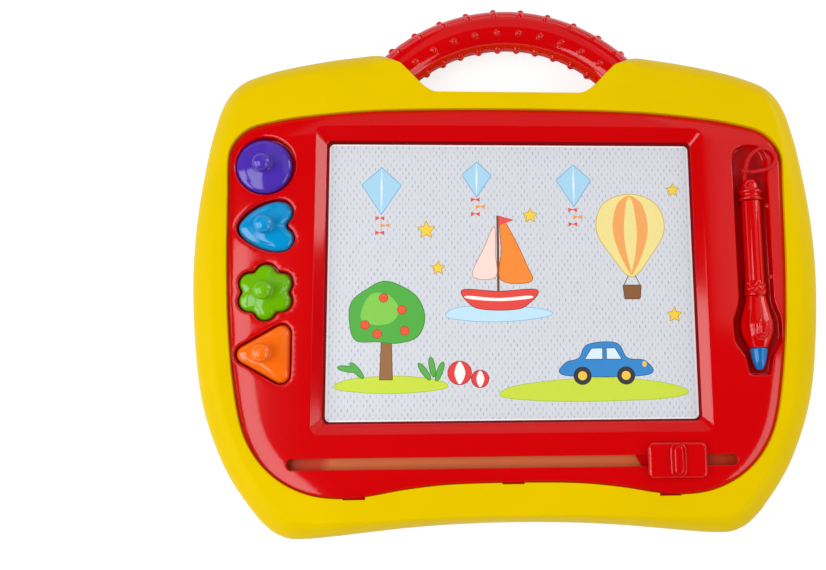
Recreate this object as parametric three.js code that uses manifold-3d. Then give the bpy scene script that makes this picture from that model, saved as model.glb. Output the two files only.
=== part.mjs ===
// A magnetic drawing board for a child. A yellow case in two halves holds a red front panel with a
// window on a magnetic screen. An eraser bar behind the screen is drawn across it by a knob in a slot,
// four stamps and a pen lie in pockets of the panel, and a hollow handle is caught between the halves.
// Millimetres. X runs across the board, Y up its face towards the handle, Z out of the face.
// Sizes are laid out from the middle of the window in X and Y, and from the flat back in Z.

import * as THREE from "three";
import { mergeVertices } from "three/addons/utils/BufferGeometryUtils.js";
import Module from "manifold-3d";

const wasm = await Module();
wasm.setup();

// Clearances and walls that all pieces share
const fit = 0.3;
const overrun = 1;
const wall = 2.2;
const pocketSkin = 1.8;
const pointGap = 0.01;

// Window in the front panel, and the bevel that slopes down to it
const windowWidth = 244.6;
const windowHeight = 186.6;
const windowCorner = 3.4;
const windowShift = 1.2;
const bevelSide = 7.7;
const bevelEnd = 10.5;
const bevelCorner = 5;
const windowLip = 0.9;

// Front panel: a recessed, crowned plate with room for stamps on the left and the pen on the right
const stampGap = 12.6;
const roundPocket = 42;
const stampMargin = 3.8;
const panelTopMargin = 13.1;
const slotGap = 12.7;
const slotWidth = 7.2;
const slotMargin = 18.1;
const panelSkirt = 2;
const panelRoll = 10;
const panelRollRise = 1.8;

// Case: bands round the panel, and heights from the back
const bandSide = 22.8;
const bandTop = 43.6;
const bandBottom = 24.9;
const barWidth = 13.3;
const flankWidth = 14.5;
const jointHeight = 11.5;
const frameHeight = 27;
const shoulderRise = 1.2;
const shoulderSlope = 5;
const shoulderReach = 130;
const lipDepth = 3.2;
const lipChamfer = 0.9;
const ledgeWidth = 2.6;
const ledgeThickness = 2;
const backRound = 3.6;

// Handle: a bowed tube in two halves
const handleRadius = 108;
const tubeHalfWidth = 13.5;
const tubeHalfDepth = 11;
const tubeWall = 2.2;
const tubeAxisHeight = 13.5;
const fingerGap = 34.4;
const bumpRadius = 2.1;
const bumpHeight = 1.6;
const mouthAngle = 48.1;
const rootAngle = 35;
const rootBossAngle = 40;
const bumpAngles = [-85, -22, 36, 75];
const bumpStations = 10;
const bumpFirstAngle = 50;

// Screen: a printed film, a core of cells and a back film, held up by a clamp frame
const screenFilm = 0.5;
const screenCore = 1.8;
const screenSideLap = 14.7;
const screenEndLap = 9;
const clampThickness = 3;
const clampSideRail = 4.8;
const clampEndRail = 16.2;
const clampOverlap = 2.8;
const clampCorner = 1;

// Eraser: knob, carriage and bar with a magnet strip
const eraserOvertravel = 5.2;
const eraserRestShare = 0.8235;
const barHalfWidth = 5.5;
const magnetHalfWidth = 2;
const magnetThickness = 1.5;
const shoeThickness = 2.8;
const shoeLength = 8.5;
const neckHalfLength = 17;
const slotEndGap = 0.8;
const carriageMargin = 1.3;
const carriageTail = 7.8;
const carriageSlant = 5.6;
const knobWidth = 38.6;
const knobDepth = 23.2;
const knobHeight = 3.5;
const knobCorner = 4;
const knobEdge = 0.8;
const ridgeWidth = 10.6;
const ridgeDepth = 21.4;
const ridgeHeight = 1.6;
const ribWidth = 6;
const ribDepth = 18;
const ribHeight = 1.4;
const railWidth = 1.8;
const trackWidth = 9.4;

// Stamps: shaped plates with a domed back and a round knob
const stampPitch = 41.9;
const stampDrop = 16.9;
const stampClearance = 2.4;
const stampSeatDepth = 7.1;
const stampPlate = 3.4;
const stampDome = 4.6;
const stampNeckRadius = 4.3;
const stampKnobRadius = 6.2;
const stampHeight = 18.4;
const stampMagnet = 1.5;
const stampMagnetMargin = 3.5;
const pocketChamfer = 0.8;
const heartWidth = 40.2;
const heartHeight = 39.2;
const flowerWidth = 41.5;
const triangleSide = 54;
const triangleCorner = 8;

// Pen: tail cap, barrel, bulb and tip, lying in a groove of its own shape
const penShift = 0.5;
const wellMargin = 6.6;
const wellHalfWidth = 12;
const wellBulbHalfWidth = 16.2;
const wellFootHalfWidth = 4.7;
const wellTopMargin = 24.7;
const wellLength = 157.7;
const wellShelfDepth = 8;
const penDrop = 3.8;
const barrelRadius = 6;
const barrelBore = 4;
const barrelLength = 65.4;
const capLength = 16.3;
const capRingRadius = 7.3;
const capRingWidth = 3;
const spigotLength = 8;
const bulbLength = 34.6;
const bulbRadius = 9.5;
const bulbMouthRadius = 6.1;
const tipLength = 14.2;
const tipRadius = 5.9;
const tipEndRadius = 1.5;
const tipMagnetRadius = 1.6;
const tipMagnetLength = 7;
const penNose = 3.6;
const nubRadius = 1.6;

// Cord: a hang loop tied to the pen
const cordRadius = 1.25;
const cordSides = 8;
const cordSteps = 16;
const cordHoleDepth = 7;
const cordHoleShift = 3;
const cordPlay = 0.5;
const knotRadius = 2.9;
const knotLength = 3.2;

// Fasteners
const bossRadius = 4.2;
const caseScrew = { shank: 1.5, length: 17, head: 3.3, headHeight: 2.2 };
const caseHeadDepth = 1.5;
const clampScrew = { shank: 1.2, length: 7, head: 2.4, headHeight: 1.5 };
const clampBossRadius = 3;
const knobScrew = { shank: 1.2, length: 8.1, head: 2.4, headHeight: 1.5 };
const screwSides = 6;
const bossSides = 8;
const tabWidth = 13.8;
const tabDepth = 1.1;
const tabBarb = 1.1;

// Facets on round shapes
const roundSteps = 16;
const cornerSteps = 3;
const tubeSteps = 22;
const tubeSectionSteps = 6;
const bumpSides = 4;

// Places that follow from the sizes above
const windowX = windowShift;
const bevelLeft = windowX - windowWidth / 2 - bevelSide;
const pocketRight = bevelLeft - stampGap;
const panelHalfWidth = roundPocket + stampMargin - pocketRight;
const bevelTop = windowHeight / 2 + bevelEnd;
const panelTop = bevelTop + panelTopMargin;
const slotY = -bevelTop - slotGap - slotWidth / 2;
const panelBottom = slotY - slotWidth / 2 - slotMargin;
const caseHalfWidth = panelHalfWidth + bandSide;
const caseTop = panelTop + bandTop;
const caseBottom = panelBottom - bandBottom;
const barTop = panelTop + barWidth;
const handleY = barTop + fingerGap + tubeHalfWidth - handleRadius;
const panelRim = frameHeight - lipDepth;
const panelFace = panelRim + panelRollRise;
const panelUnder = panelFace - wall;
const ledgeTop = panelRim - panelSkirt - fit;
const sill = panelFace - 6;
const windowUnder = sill - windowLip;
const filmTop = windowUnder - fit;
const coreTop = filmTop - screenFilm - fit;
const backFilmTop = coreTop - screenCore - fit;
const clampTop = backFilmTop - screenFilm - fit;
const clampBottom = clampTop - clampThickness;
const shoeTop = clampBottom - fit;
const shoeBottom = shoeTop - shoeThickness;
const carriageTop = panelUnder - wall - fit;
const carriageBottom = carriageTop - shoeThickness;
const trackTop = carriageBottom - fit;
const eraserReach = windowWidth / 2 + eraserOvertravel;
const eraserX = windowX + eraserRestShare * eraserReach;
const slotLength = 2 * (eraserReach + neckHalfLength + slotEndGap);
const stampFloor = panelFace - stampSeatDepth;
const wellX = panelHalfWidth - wellMargin - wellBulbHalfWidth;
const penX = wellX + penShift;
const penHeight = panelFace - penDrop;
const wellTop = bevelTop + panelTopMargin - wellTopMargin;

const point = (x, y) => new THREE.Vector2(x, y);
const degrees = THREE.MathUtils.degToRad;

// Materials
function plastic(color, roughness = 0.3) {
  return new THREE.MeshStandardMaterial({ color, roughness, metalness: 0 });
}

const yellow = plastic(0xe8c900);
const red = plastic(0xd00008);
const steel = new THREE.MeshStandardMaterial({ color: 0xb4b8bc, roughness: 0.35, metalness: 1 });
const magnetGrey = plastic(0x35363a, 0.7);

// Solids for joining and cutting
function solid(geometry) {
  geometry.deleteAttribute("normal");
  geometry.deleteAttribute("uv");
  const merged = mergeVertices(geometry);
  const corners = merged.index.array;
  const kept = [];
  for (let i = 0; i < corners.length; i += 3) {
    const [a, b, c] = corners.slice(i, i + 3);
    if (a !== b && b !== c && c !== a) kept.push(a, b, c);
  }
  return new wasm.Manifold(
    new wasm.Mesh({
      numProp: 3,
      vertProperties: new Float32Array(merged.attributes.position.array),
      triVerts: new Uint32Array(kept),
    }),
  );
}

function geometryOf(body) {
  const mesh = body.getMesh();
  const geometry = new THREE.BufferGeometry();
  geometry.setAttribute("position", new THREE.BufferAttribute(mesh.vertProperties, 3));
  geometry.setIndex(new THREE.BufferAttribute(mesh.triVerts, 1));
  geometry.computeVertexNormals();
  return geometry;
}

const joined = (first, ...others) => others.reduce((body, other) => body.add(other), first);
const cut = (first, ...others) => others.reduce((body, other) => body.subtract(other), first);

// A closed skin over rings of points with equal counts, capped at both ends by the flat shape given
function skin(rings, flat) {
  const count = flat.length;
  const vertices = rings.flat().flatMap((p) => [p.x, p.y, p.z]);
  const faces = [];
  for (let r = 0; r < rings.length - 1; r += 1) {
    for (let i = 0; i < count; i += 1) {
      const a = r * count + i;
      const b = r * count + ((i + 1) % count);
      faces.push(a, b, b + count, a, b + count, a + count);
    }
  }
  const last = (rings.length - 1) * count;
  for (const [a, b, c] of THREE.ShapeUtils.triangulateShape(flat, [])) {
    faces.push(c, b, a, last + a, last + b, last + c);
  }
  const geometry = new THREE.BufferGeometry();
  geometry.setAttribute("position", new THREE.Float32BufferAttribute(vertices, 3));
  geometry.setIndex(faces);
  return solid(geometry);
}

// Rising layers, each an outline with its height
function layers(...levels) {
  const rings = levels.map(([outline, z]) => outline.map((p) => new THREE.Vector3(p.x, p.y, z)));
  return skin(rings, levels[levels.length - 1][0]);
}

function prism(outline, low, high) {
  const shape = new THREE.Shape(outline);
  const geometry = new THREE.ExtrudeGeometry(shape, { depth: high - low, bevelEnabled: false });
  return solid(geometry.translate(0, 0, low));
}

function block(x0, x1, y0, y1, z0, z1) {
  const geometry = new THREE.BoxGeometry(x1 - x0, y1 - y0, z1 - z0);
  return solid(geometry.translate((x0 + x1) / 2, (y0 + y1) / 2, (z0 + z1) / 2));
}

function post(x, y, radius, low, high, sides = bossSides) {
  const geometry = new THREE.CylinderGeometry(radius, radius, high - low, sides);
  return solid(geometry.rotateX(Math.PI / 2).translate(x, y, (low + high) / 2));
}

// A body turned about the Y axis from pairs of radius and height, rising
function turned(pairs, sides = roundSteps) {
  return solid(new THREE.LatheGeometry(pairs.map(([r, y]) => point(r, y)), sides));
}

// Outlines
const moved = (outline, x, y) => outline.map((p) => point(p.x + x, p.y + y));

// Each point moves inwards by one distance, or by its own from a list; below zero is outwards
function inset(outline, distance) {
  const count = outline.length;
  return outline.map((p, i) => {
    const before = p.clone().sub(outline[(i + count - 1) % count]).normalize();
    const after = outline[(i + 1) % count].clone().sub(p).normalize();
    const normal = point(-before.y - after.y, before.x + after.x);
    const reach = Array.isArray(distance) ? distance[i] : distance;
    return p.clone().add(normal.multiplyScalar(reach / (1 + before.dot(after))));
  });
}

function roundedBox(width, height, corner, x = 0, y = 0) {
  const shape = new THREE.Shape();
  const right = width / 2 - corner;
  const top = height / 2 - corner;
  shape.absarc(right, -top, corner, -Math.PI / 2, 0);
  shape.absarc(right, top, corner, 0, Math.PI / 2);
  shape.absarc(-right, top, corner, Math.PI / 2, Math.PI);
  shape.absarc(-right, -top, corner, Math.PI, (3 * Math.PI) / 2);
  const points = shape.getPoints(cornerSteps);
  const outline = points.filter((p, i) => p.distanceTo(points[(i + 1) % points.length]) > pointGap);
  return moved(outline, x, y);
}

// The right half from the bottom to the top, with its mirror image on the left
function mirrored(half) {
  const left = half.slice(1, -1).reverse();
  return [...half, ...left.map((p) => point(-p.x, p.y))];
}

function handlePoint(radius, angle) {
  return point(radius * Math.cos(degrees(angle)), handleY + radius * Math.sin(degrees(angle)));
}

// Case outline: shares of the half width and half height, and of the sloping flank's width
const caseShares = [
  [0, -0.946, 0.33],
  [0.178, -0.95, 0.36],
  [0.323, -0.96, 0.42],
  [0.454, -0.975, 0.52],
  [0.559, -0.99, 0.64],
  [0.618, -0.999, 0.72],
  [0.675, -0.998, 0.8],
  [0.721, -0.977, 0.86],
  [0.76, -0.941, 0.9],
  [0.791, -0.898, 0.92],
  [0.846, -0.802, 0.95],
  [0.891, -0.698, 0.97],
  [0.942, -0.532, 1],
  [0.972, -0.362, 1],
  [0.993, -0.134, 1],
  [1, 0.094, 1],
  [0.991, 0.326, 1],
  [0.967, 0.567, 0.97],
  [0.947, 0.69, 0.92],
  [0.934, 0.752, 0.88],
  [0.913, 0.81, 0.84],
  [0.881, 0.857, 0.82],
  [0.836, 0.89, 0.82],
  [0.734, 0.932, 0.82],
  [0.588, 0.971, 0.84],
  [0.453, 0.995, 0.88],
];
const tipFlankShares = [0.88, 0.62, 0.36, 0.14];
const barFlankShare = 0.12;

const caseMiddle = (caseTop + caseBottom) / 2;
const caseHalfHeight = (caseTop - caseBottom) / 2;
const edgeCurve = new THREE.SplineCurve(
  caseShares.map(([x, y]) => point(x * caseHalfWidth, caseMiddle + y * caseHalfHeight)),
);
const edgePoints = edgeCurve.getPoints(caseShares.length - 1);
const tipCorner = handlePoint((caseTop - handleY) / Math.sin(degrees(mouthAngle)), mouthAngle);
const mouthTop = handlePoint(handleRadius, mouthAngle);
const barCorner = handlePoint((barTop - handleY) / Math.sin(degrees(mouthAngle)), mouthAngle);
const mouthFoot = handlePoint(handleRadius - tubeHalfWidth - wall * 2, mouthAngle);
const barEnd = point(barCorner.x - (mouthFoot.x - barCorner.x), barTop);
const tipCurve = new THREE.QuadraticBezierCurve(edgePoints[edgePoints.length - 1], tipCorner, mouthTop);
const footCurve = new THREE.QuadraticBezierCurve(mouthFoot, barCorner, barEnd);
const tipPoints = tipCurve.getPoints(tipFlankShares.length - 1).slice(1);
const footPoints = footCurve.getPoints(cornerSteps);
const caseHalf = [...edgePoints, ...tipPoints, ...footPoints, point(0, barTop)];
const caseOutline = mirrored(caseHalf);
const halfFlank = [
  ...caseShares.map((row) => row[2]),
  ...tipFlankShares.slice(1),
  ...footPoints.map(() => barFlankShare),
  barFlankShare,
];
const flankShare = [...halfFlank, ...halfFlank.slice(1, -1).reverse()];
const caseInset = (share, extra = 0) => {
  return inset(caseOutline, flankShare.map((own) => own * share * flankWidth + extra));
};

// Panel outline: shares of its half width and half height
const panelShares = [
  [0, -0.932],
  [0.221, -0.938],
  [0.37, -0.96],
  [0.481, -0.987],
  [0.569, -1],
  [0.673, -0.986],
  [0.764, -0.936],
  [0.84, -0.854],
  [0.896, -0.746],
  [0.931, -0.62],
  [0.958, -0.422],
  [0.979, -0.164],
  [0.992, 0.156],
  [0.998, 0.563],
  [1, 0.714],
  [0.989, 0.786],
  [0.962, 0.845],
  [0.92, 0.89],
  [0.862, 0.916],
  [0.745, 0.949],
  [0.542, 0.981],
  [0.32, 0.995],
  [0, 1],
];
const panelMiddle = (panelTop + panelBottom) / 2;
const panelHalfHeight = (panelTop - panelBottom) / 2;
const panelHalf = panelShares.map(([x, y]) => {
  return point(x * panelHalfWidth, panelMiddle + y * panelHalfHeight);
});
const panelOutline = mirrored(panelHalf);

// Height of the panel's lower edge at a place across it
function panelEdgeY(x) {
  const next = panelHalf.findIndex((p) => p.x > Math.abs(x));
  const a = panelHalf[next - 1];
  const b = panelHalf[next];
  return a.y + ((b.y - a.y) * (Math.abs(x) - a.x)) / (b.x - a.x);
}

// Handle: sections lie in the plane of the radius and Z, and are swept along the arc
function ovalSection(halfWidth, halfDepth, start, end, steps) {
  return Array.from({ length: steps + 1 }, (_, i) => {
    const angle = degrees(start + ((end - start) * i) / steps);
    return point(halfWidth * Math.cos(angle), halfDepth * Math.sin(angle));
  });
}

function swept(section, angles) {
  const rings = angles.map((angle) => {
    return section.map((p) => {
      const place = handlePoint(handleRadius + p.x, angle);
      return new THREE.Vector3(place.x, place.y, tubeAxisHeight + p.y);
    });
  });
  return skin(rings, section);
}

const tubeStep = (180 - 2 * rootAngle) / tubeSteps;
const tubeAngles = Array.from({ length: tubeSteps + 1 }, (_, i) => 180 - rootAngle - i * tubeStep);
const rootSteps = Math.ceil((mouthAngle - rootAngle) / tubeStep) + 1;
const endRoom = fit / handleRadius / degrees(1);
const clearSection = ovalSection(tubeHalfWidth + fit, tubeHalfDepth + fit, 0, 360, 2 * tubeSectionSteps);
clearSection.pop();
const handleRoom = joined(
  swept(clearSection, [180 - rootAngle + endRoom, ...tubeAngles.slice(0, rootSteps)]),
  swept(clearSection, [...tubeAngles.slice(-rootSteps), rootAngle - endRoom]),
);
const rootBosses = [rootBossAngle, 180 - rootBossAngle].map((angle) => handlePoint(handleRadius, angle));

// Case screws sit in the middle of the band: shares of its half width and of the case's half height
const caseScrewShares = [
  [0.754, 0.8],
  [0.994, 0.275],
  [0.969, -0.34],
  [0.724, -0.891],
];
const bandScrews = caseScrewShares.flatMap(([x, y]) => {
  const across = x * (panelHalfWidth + bandSide / 2);
  return [across, -across].map((place) => point(place, caseMiddle + y * caseHalfHeight));
});
const caseScrewPlaces = [...bandScrews, ...rootBosses];
const tabPlaces = [-0.54, 0, 0.54].map((share) => share * panelHalfWidth);

// Front frame: the yellow ring that shows round the panel
function tabNotch(x) {
  const edge = panelEdgeY(x);
  const half = tabWidth / 2 + fit;
  const low = ledgeTop - ledgeThickness - overrun;
  return block(x - half, x + half, edge - tabDepth - fit, edge + wall, low, frameHeight + overrun);
}

// A soft rise of the frame's face where it covers the roots of the handle
function shoulder(side) {
  const low = panelTop + lipChamfer + wall;
  const crest = caseTop - flankWidth * 0.9;
  const corners = [
    point(barCorner.x - wall, low),
    point(shoulderReach, low - wall * 2),
    point(shoulderReach - wall, crest - flankWidth * 0.55),
    point(mouthTop.x + shoulderSlope, crest),
    point(barCorner.x - wall, crest),
  ];
  const foot = side > 0 ? corners : corners.map((p) => point(-p.x, p.y)).reverse();
  const crown = inset(foot, shoulderSlope);
  return layers([foot, frameHeight - overrun], [foot, frameHeight], [crown, frameHeight + shoulderRise]);
}

function frontFrame() {
  const shell = layers(
    [caseInset(0), jointHeight + fit],
    [caseInset(0.04), frameHeight - flankWidth * 0.8],
    [caseInset(0.38), frameHeight - flankWidth * 0.34],
    [caseInset(0.78), frameHeight - flankWidth * 0.08],
    [caseInset(1), frameHeight],
  );
  const hollow = layers(
    [caseInset(0, wall), jointHeight - overrun],
    [caseInset(0.04, wall), frameHeight - flankWidth * 0.8 - wall / 3],
    [caseInset(0.38, wall), frameHeight - flankWidth * 0.34 - wall * 0.7],
    [caseInset(0.78, wall), frameHeight - wall],
  );
  const plan = prism(caseOutline, jointHeight, caseTop);
  const shoulders = joined(shoulder(1), shoulder(-1)).intersect(plan);
  const collar = prism(inset(panelOutline, -wall), ledgeTop - ledgeThickness, frameHeight - wall / 2);
  const opening = layers(
    [panelOutline, ledgeTop],
    [panelOutline, frameHeight - lipChamfer],
    [inset(panelOutline, -lipChamfer), frameHeight],
    [inset(panelOutline, -lipChamfer - overrun), frameHeight + overrun],
  );
  const ledgeOpening = prism(inset(panelOutline, ledgeWidth), jointHeight, frameHeight);
  const room = pocketSkin + fit;
  const pocketRooms = stampKinds.map(({ outline, x, y }) => {
    return prism(moved(inset(outline, -room), x, y), jointHeight, ledgeTop + fit);
  });
  const wellRoom = prism(wellOutline(room), jointHeight, ledgeTop + fit);
  const ring = joined(cut(shell, hollow), shoulders, collar);
  const open = cut(ring, opening, ledgeOpening, handleRoom, wellRoom, ...pocketRooms);
  const bosses = caseScrewPlaces.map((p) => {
    return post(p.x, p.y, bossRadius, jointHeight + fit, frameHeight - wall / 2);
  });
  const holes = caseScrewPlaces.map((p) => {
    const depth = caseHeadDepth + caseScrew.headHeight + caseScrew.length + overrun;
    return post(p.x, p.y, caseScrew.shank + fit, jointHeight - overrun, depth, screwSides);
  });
  const posts = joined(...bosses).intersect(shell);
  return cut(joined(open, posts), ...holes, ...tabPlaces.map(tabNotch));
}

// Rear cover: a shallow tray with screw bosses and the two rails that carry the eraser
function rearCover() {
  const shell = layers(
    [inset(caseOutline, backRound), 0],
    [inset(caseOutline, backRound / 3), backRound * 0.4],
    [inset(caseOutline, backRound / 12), backRound],
    [caseOutline, jointHeight],
  );
  const hollow = layers(
    [inset(caseOutline, wall + backRound / 2), wall],
    [inset(caseOutline, wall), backRound + wall],
    [inset(caseOutline, wall), jointHeight + overrun],
  );
  const railHalf = eraserReach + neckHalfLength;
  const railY = windowHeight / 2 + screenEndLap - railWidth;
  const rails = [-1, 1].map((side) => {
    const y = side * railY;
    const top = shoeBottom - fit;
    return block(windowX - railHalf, windowX + railHalf, y - railWidth / 2, y + railWidth / 2, wall / 2, top);
  });
  const track = roundedBox(slotLength + 2 * wall, trackWidth, 2 * wall, windowX, slotY);
  const trackHollow = inset(track, wall);
  const bosses = caseScrewPlaces.map((p) => post(p.x, p.y, bossRadius, wall / 2, jointHeight));
  const sinks = caseScrewPlaces.map((p) => {
    const depth = caseHeadDepth + caseScrew.headHeight + fit;
    return post(p.x, p.y, caseScrew.head + fit, -overrun, depth, screwSides);
  });
  const holes = caseScrewPlaces.map((p) => {
    return post(p.x, p.y, caseScrew.shank + fit, -overrun, jointHeight + overrun, screwSides);
  });
  const tray = cut(shell, hollow, handleRoom);
  return cut(
    joined(tray, ...rails, ...bosses, prism(track, wall / 2, trackTop)),
    prism(trackHollow, -overrun, trackTop - wall),
    ...sinks,
    ...holes,
  );
}

// Stamp outlines, centred, each as wide as its pocket
const heartShares = [
  [-1, 0],
  [-0.94, 0.17],
  [-0.55, 0.57],
  [-0.12, 0.88],
  [0.26, 1],
  [0.64, 0.92],
  [0.91, 0.66],
  [1, 0.34],
  [0.95, 0.12],
  [0.87, 0],
];

function roundOutline() {
  return Array.from({ length: roundSteps }, (_, i) => {
    const angle = (2 * Math.PI * i) / roundSteps;
    return point((roundPocket / 2) * Math.cos(angle), (roundPocket / 2) * Math.sin(angle));
  });
}

function heartOutline() {
  const upper = heartShares.map(([x, y]) => point((x * heartWidth) / 2, (y * heartHeight) / 2));
  const lower = upper.slice(1, -1).reverse();
  return [...upper, ...lower.map((p) => point(p.x, -p.y))].reverse();
}

function flowerOutline() {
  const petals = 6;
  const steps = petals * 6;
  const petalShare = 0.09;
  return Array.from({ length: steps }, (_, i) => {
    const angle = (2 * Math.PI * i) / steps;
    const reach = (flowerWidth / 2 / (1 + petalShare)) * (1 - petalShare * Math.cos(petals * angle));
    return point(reach * Math.cos(angle), reach * Math.sin(angle));
  });
}

// An equal-sided triangle with round corners and its apex to the left
function triangleOutline() {
  const centreReach = triangleSide / Math.sqrt(3) - 2 * triangleCorner;
  const steps = 2 * cornerSteps;
  const outline = [60, 180, 300].flatMap((turn) => {
    const x = centreReach * Math.cos(degrees(turn));
    const y = centreReach * Math.sin(degrees(turn));
    return Array.from({ length: steps + 1 }, (_, i) => {
      const angle = degrees(turn - 60 + (120 * i) / steps);
      return point(x + triangleCorner * Math.cos(angle), y + triangleCorner * Math.sin(angle));
    });
  });
  const right = Math.max(...outline.map((p) => p.x));
  const left = Math.min(...outline.map((p) => p.x));
  return moved(outline, -(left + right) / 2, 0);
}

const stampPlaceShares = [0, 0.99, 2.03, 3];
const stampLeanShares = [-0.6, 0, -0.25, 0];
const stampKinds = [
  ["round", roundOutline(), plastic(0x4f38c4)],
  ["heart", heartOutline(), plastic(0x00a0dc)],
  ["flower", flowerOutline(), plastic(0x7ecb00)],
  ["triangle", triangleOutline(), plastic(0xff7010)],
].map(([name, outline, material], i) => {
  const right = Math.max(...outline.map((p) => p.x));
  return {
    name,
    outline,
    material,
    x: pocketRight - right,
    y: windowHeight / 2 - stampDrop - stampPlaceShares[i] * stampPitch,
    lean: stampLeanShares[i] * stampClearance,
  };
});

// Pen profile along Y from the tip, as pairs of radius and height above the tip's end
const penTipY = wellTop - wellLength + penNose;
const bulbFoot = tipLength + fit;
const bulbTop = bulbFoot + bulbLength;
const barrelFoot = bulbTop + fit;
const barrelTop = barrelFoot + barrelLength;
const capFoot = barrelTop + fit;
const capTop = capFoot + capLength;
const ringPairs = [0, capRingWidth * 1.7].flatMap((step) => [
  [capRingRadius * 0.9, capFoot + step],
  [capRingRadius, capFoot + step + capRingWidth * 0.25],
  [capRingRadius, capFoot + step + capRingWidth * 0.75],
  [capRingRadius * 0.9, capFoot + step + capRingWidth],
]);
const domeFoot = capFoot + capRingWidth * 2.7;
const domeHeight = capTop - domeFoot;
const capPairs = [
  [0, capFoot],
  ...ringPairs,
  [barrelRadius * 0.98, domeFoot + domeHeight * 0.15],
  [barrelRadius * 0.88, domeFoot + domeHeight * 0.5],
  [barrelRadius * 0.6, domeFoot + domeHeight * 0.82],
  [barrelRadius * 0.25, capTop],
  [0, capTop],
];
const bulbPairs = [
  [0, bulbFoot],
  [bulbMouthRadius, bulbFoot],
  [bulbRadius * 0.87, bulbFoot + bulbLength * 0.2],
  [bulbRadius * 0.98, bulbFoot + bulbLength * 0.38],
  [bulbRadius, bulbFoot + bulbLength * 0.46],
  [bulbRadius * 0.93, bulbFoot + bulbLength * 0.62],
  [bulbRadius * 0.76, bulbFoot + bulbLength * 0.79],
  [bulbRadius * 0.62, bulbFoot + bulbLength * 0.9],
  [barrelRadius * 1.06, bulbFoot + bulbLength * 0.95],
  [barrelRadius * 1.06, bulbTop],
  [0, bulbTop],
];
const tipPairs = [
  [0, 0],
  [tipEndRadius, 0],
  [tipRadius * 0.56, tipLength * 0.2],
  [tipRadius * 0.85, tipLength * 0.55],
  [tipRadius, tipLength],
  [0, tipLength],
];
const barrelPairs = [
  [0, barrelFoot],
  [barrelRadius, barrelFoot],
  [barrelRadius, barrelTop],
  [0, barrelTop],
];

// The pen's outer form with room round it, laid in place
function penRoom(room) {
  const grown = (pairs) => pairs.map(([r, y]) => [r > 0 ? r + room : 0, y]);
  const pieces = [tipPairs, bulbPairs, barrelPairs, capPairs].map((pairs) => {
    const low = pairs[0][1] - room;
    const high = pairs[pairs.length - 1][1] + room;
    const rows = grown(pairs).map(([r, y], i) => {
      if (i < 2) return [r, Math.min(y, low)];
      return [r, i > pairs.length - 3 ? Math.max(y, high) : y];
    });
    return turned(rows);
  });
  return joined(...pieces).translate([penX, penTipY, penHeight]);
}

// Well outline: half widths down its length
function wellOutline(grow) {
  const spread = wellBulbHalfWidth - wellHalfWidth;
  const rows = [
    [wellFootHalfWidth, wellLength],
    [wellHalfWidth * 0.72, wellLength * 0.955],
    [wellHalfWidth * 0.82, wellLength * 0.9],
    [wellBulbHalfWidth, wellLength * 0.85],
    [wellBulbHalfWidth, wellLength * 0.75],
    [wellHalfWidth + spread * 0.6, wellLength * 0.71],
    [wellHalfWidth, wellLength * 0.67],
    [wellHalfWidth, wellHalfWidth],
    [wellHalfWidth * 0.87, wellHalfWidth * 0.5],
    [wellHalfWidth * 0.5, wellHalfWidth * 0.13],
  ];
  const right = rows.map(([half, down]) => point(half, wellTop - down));
  const left = [...right].reverse().map((p) => point(-p.x, p.y));
  const outline = [...right, point(0, wellTop), ...left];
  return moved(inset(outline, -grow), wellX, 0);
}

// Small nubs on the well's right wall that keep the pen in
function nubs() {
  return [0.27, 0.58].map((share) => {
    const reach = wellX + wellHalfWidth - (penX + barrelRadius) - fit;
    const geometry = new THREE.CylinderGeometry(nubRadius / 2, nubRadius, reach + overrun, screwSides);
    const x = wellX + wellHalfWidth + overrun - (reach + overrun) / 2;
    const z = penHeight + nubRadius / 2;
    return solid(geometry.rotateZ(Math.PI / 2).translate(x, wellTop - share * wellLength, z));
  });
}

// Front panel: window, bevel, stamp pockets, pen well and eraser slot in one moulding
const bevelWidth = windowWidth + 2 * bevelSide;
const bevelHeight = 2 * bevelTop;
const clampBossY = bevelTop + wall + clampBossRadius;
const clampBosses = [-0.36, -0.12, 0.12, 0.36].flatMap((share) => {
  return [-1, 1].map((side) => point(windowX + share * windowWidth, side * clampBossY));
});

const screenWidth = windowWidth + 2 * screenSideLap;
const screenHeight = windowHeight + 2 * screenEndLap;
const clampInnerWidth = screenWidth - 2 * clampOverlap;
const clampInnerHeight = 2 * (clampBossY + clampBossRadius + fit - clampEndRail);
const clampWidth = clampInnerWidth + 2 * clampSideRail;
const clampHeight = clampInnerHeight + 2 * clampEndRail;

function snapTab(x) {
  const edge = panelEdgeY(x);
  const half = tabWidth / 2;
  const low = ledgeTop - ledgeThickness - fit - 2 * tabBarb;
  const stem = block(x - half, x + half, edge - tabDepth, edge + wall - fit, low, panelRim - fit);
  const barb = block(x - half, x + half, edge - tabDepth - tabBarb, edge, low, low + tabBarb * 2);
  return stem.add(barb);
}

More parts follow.
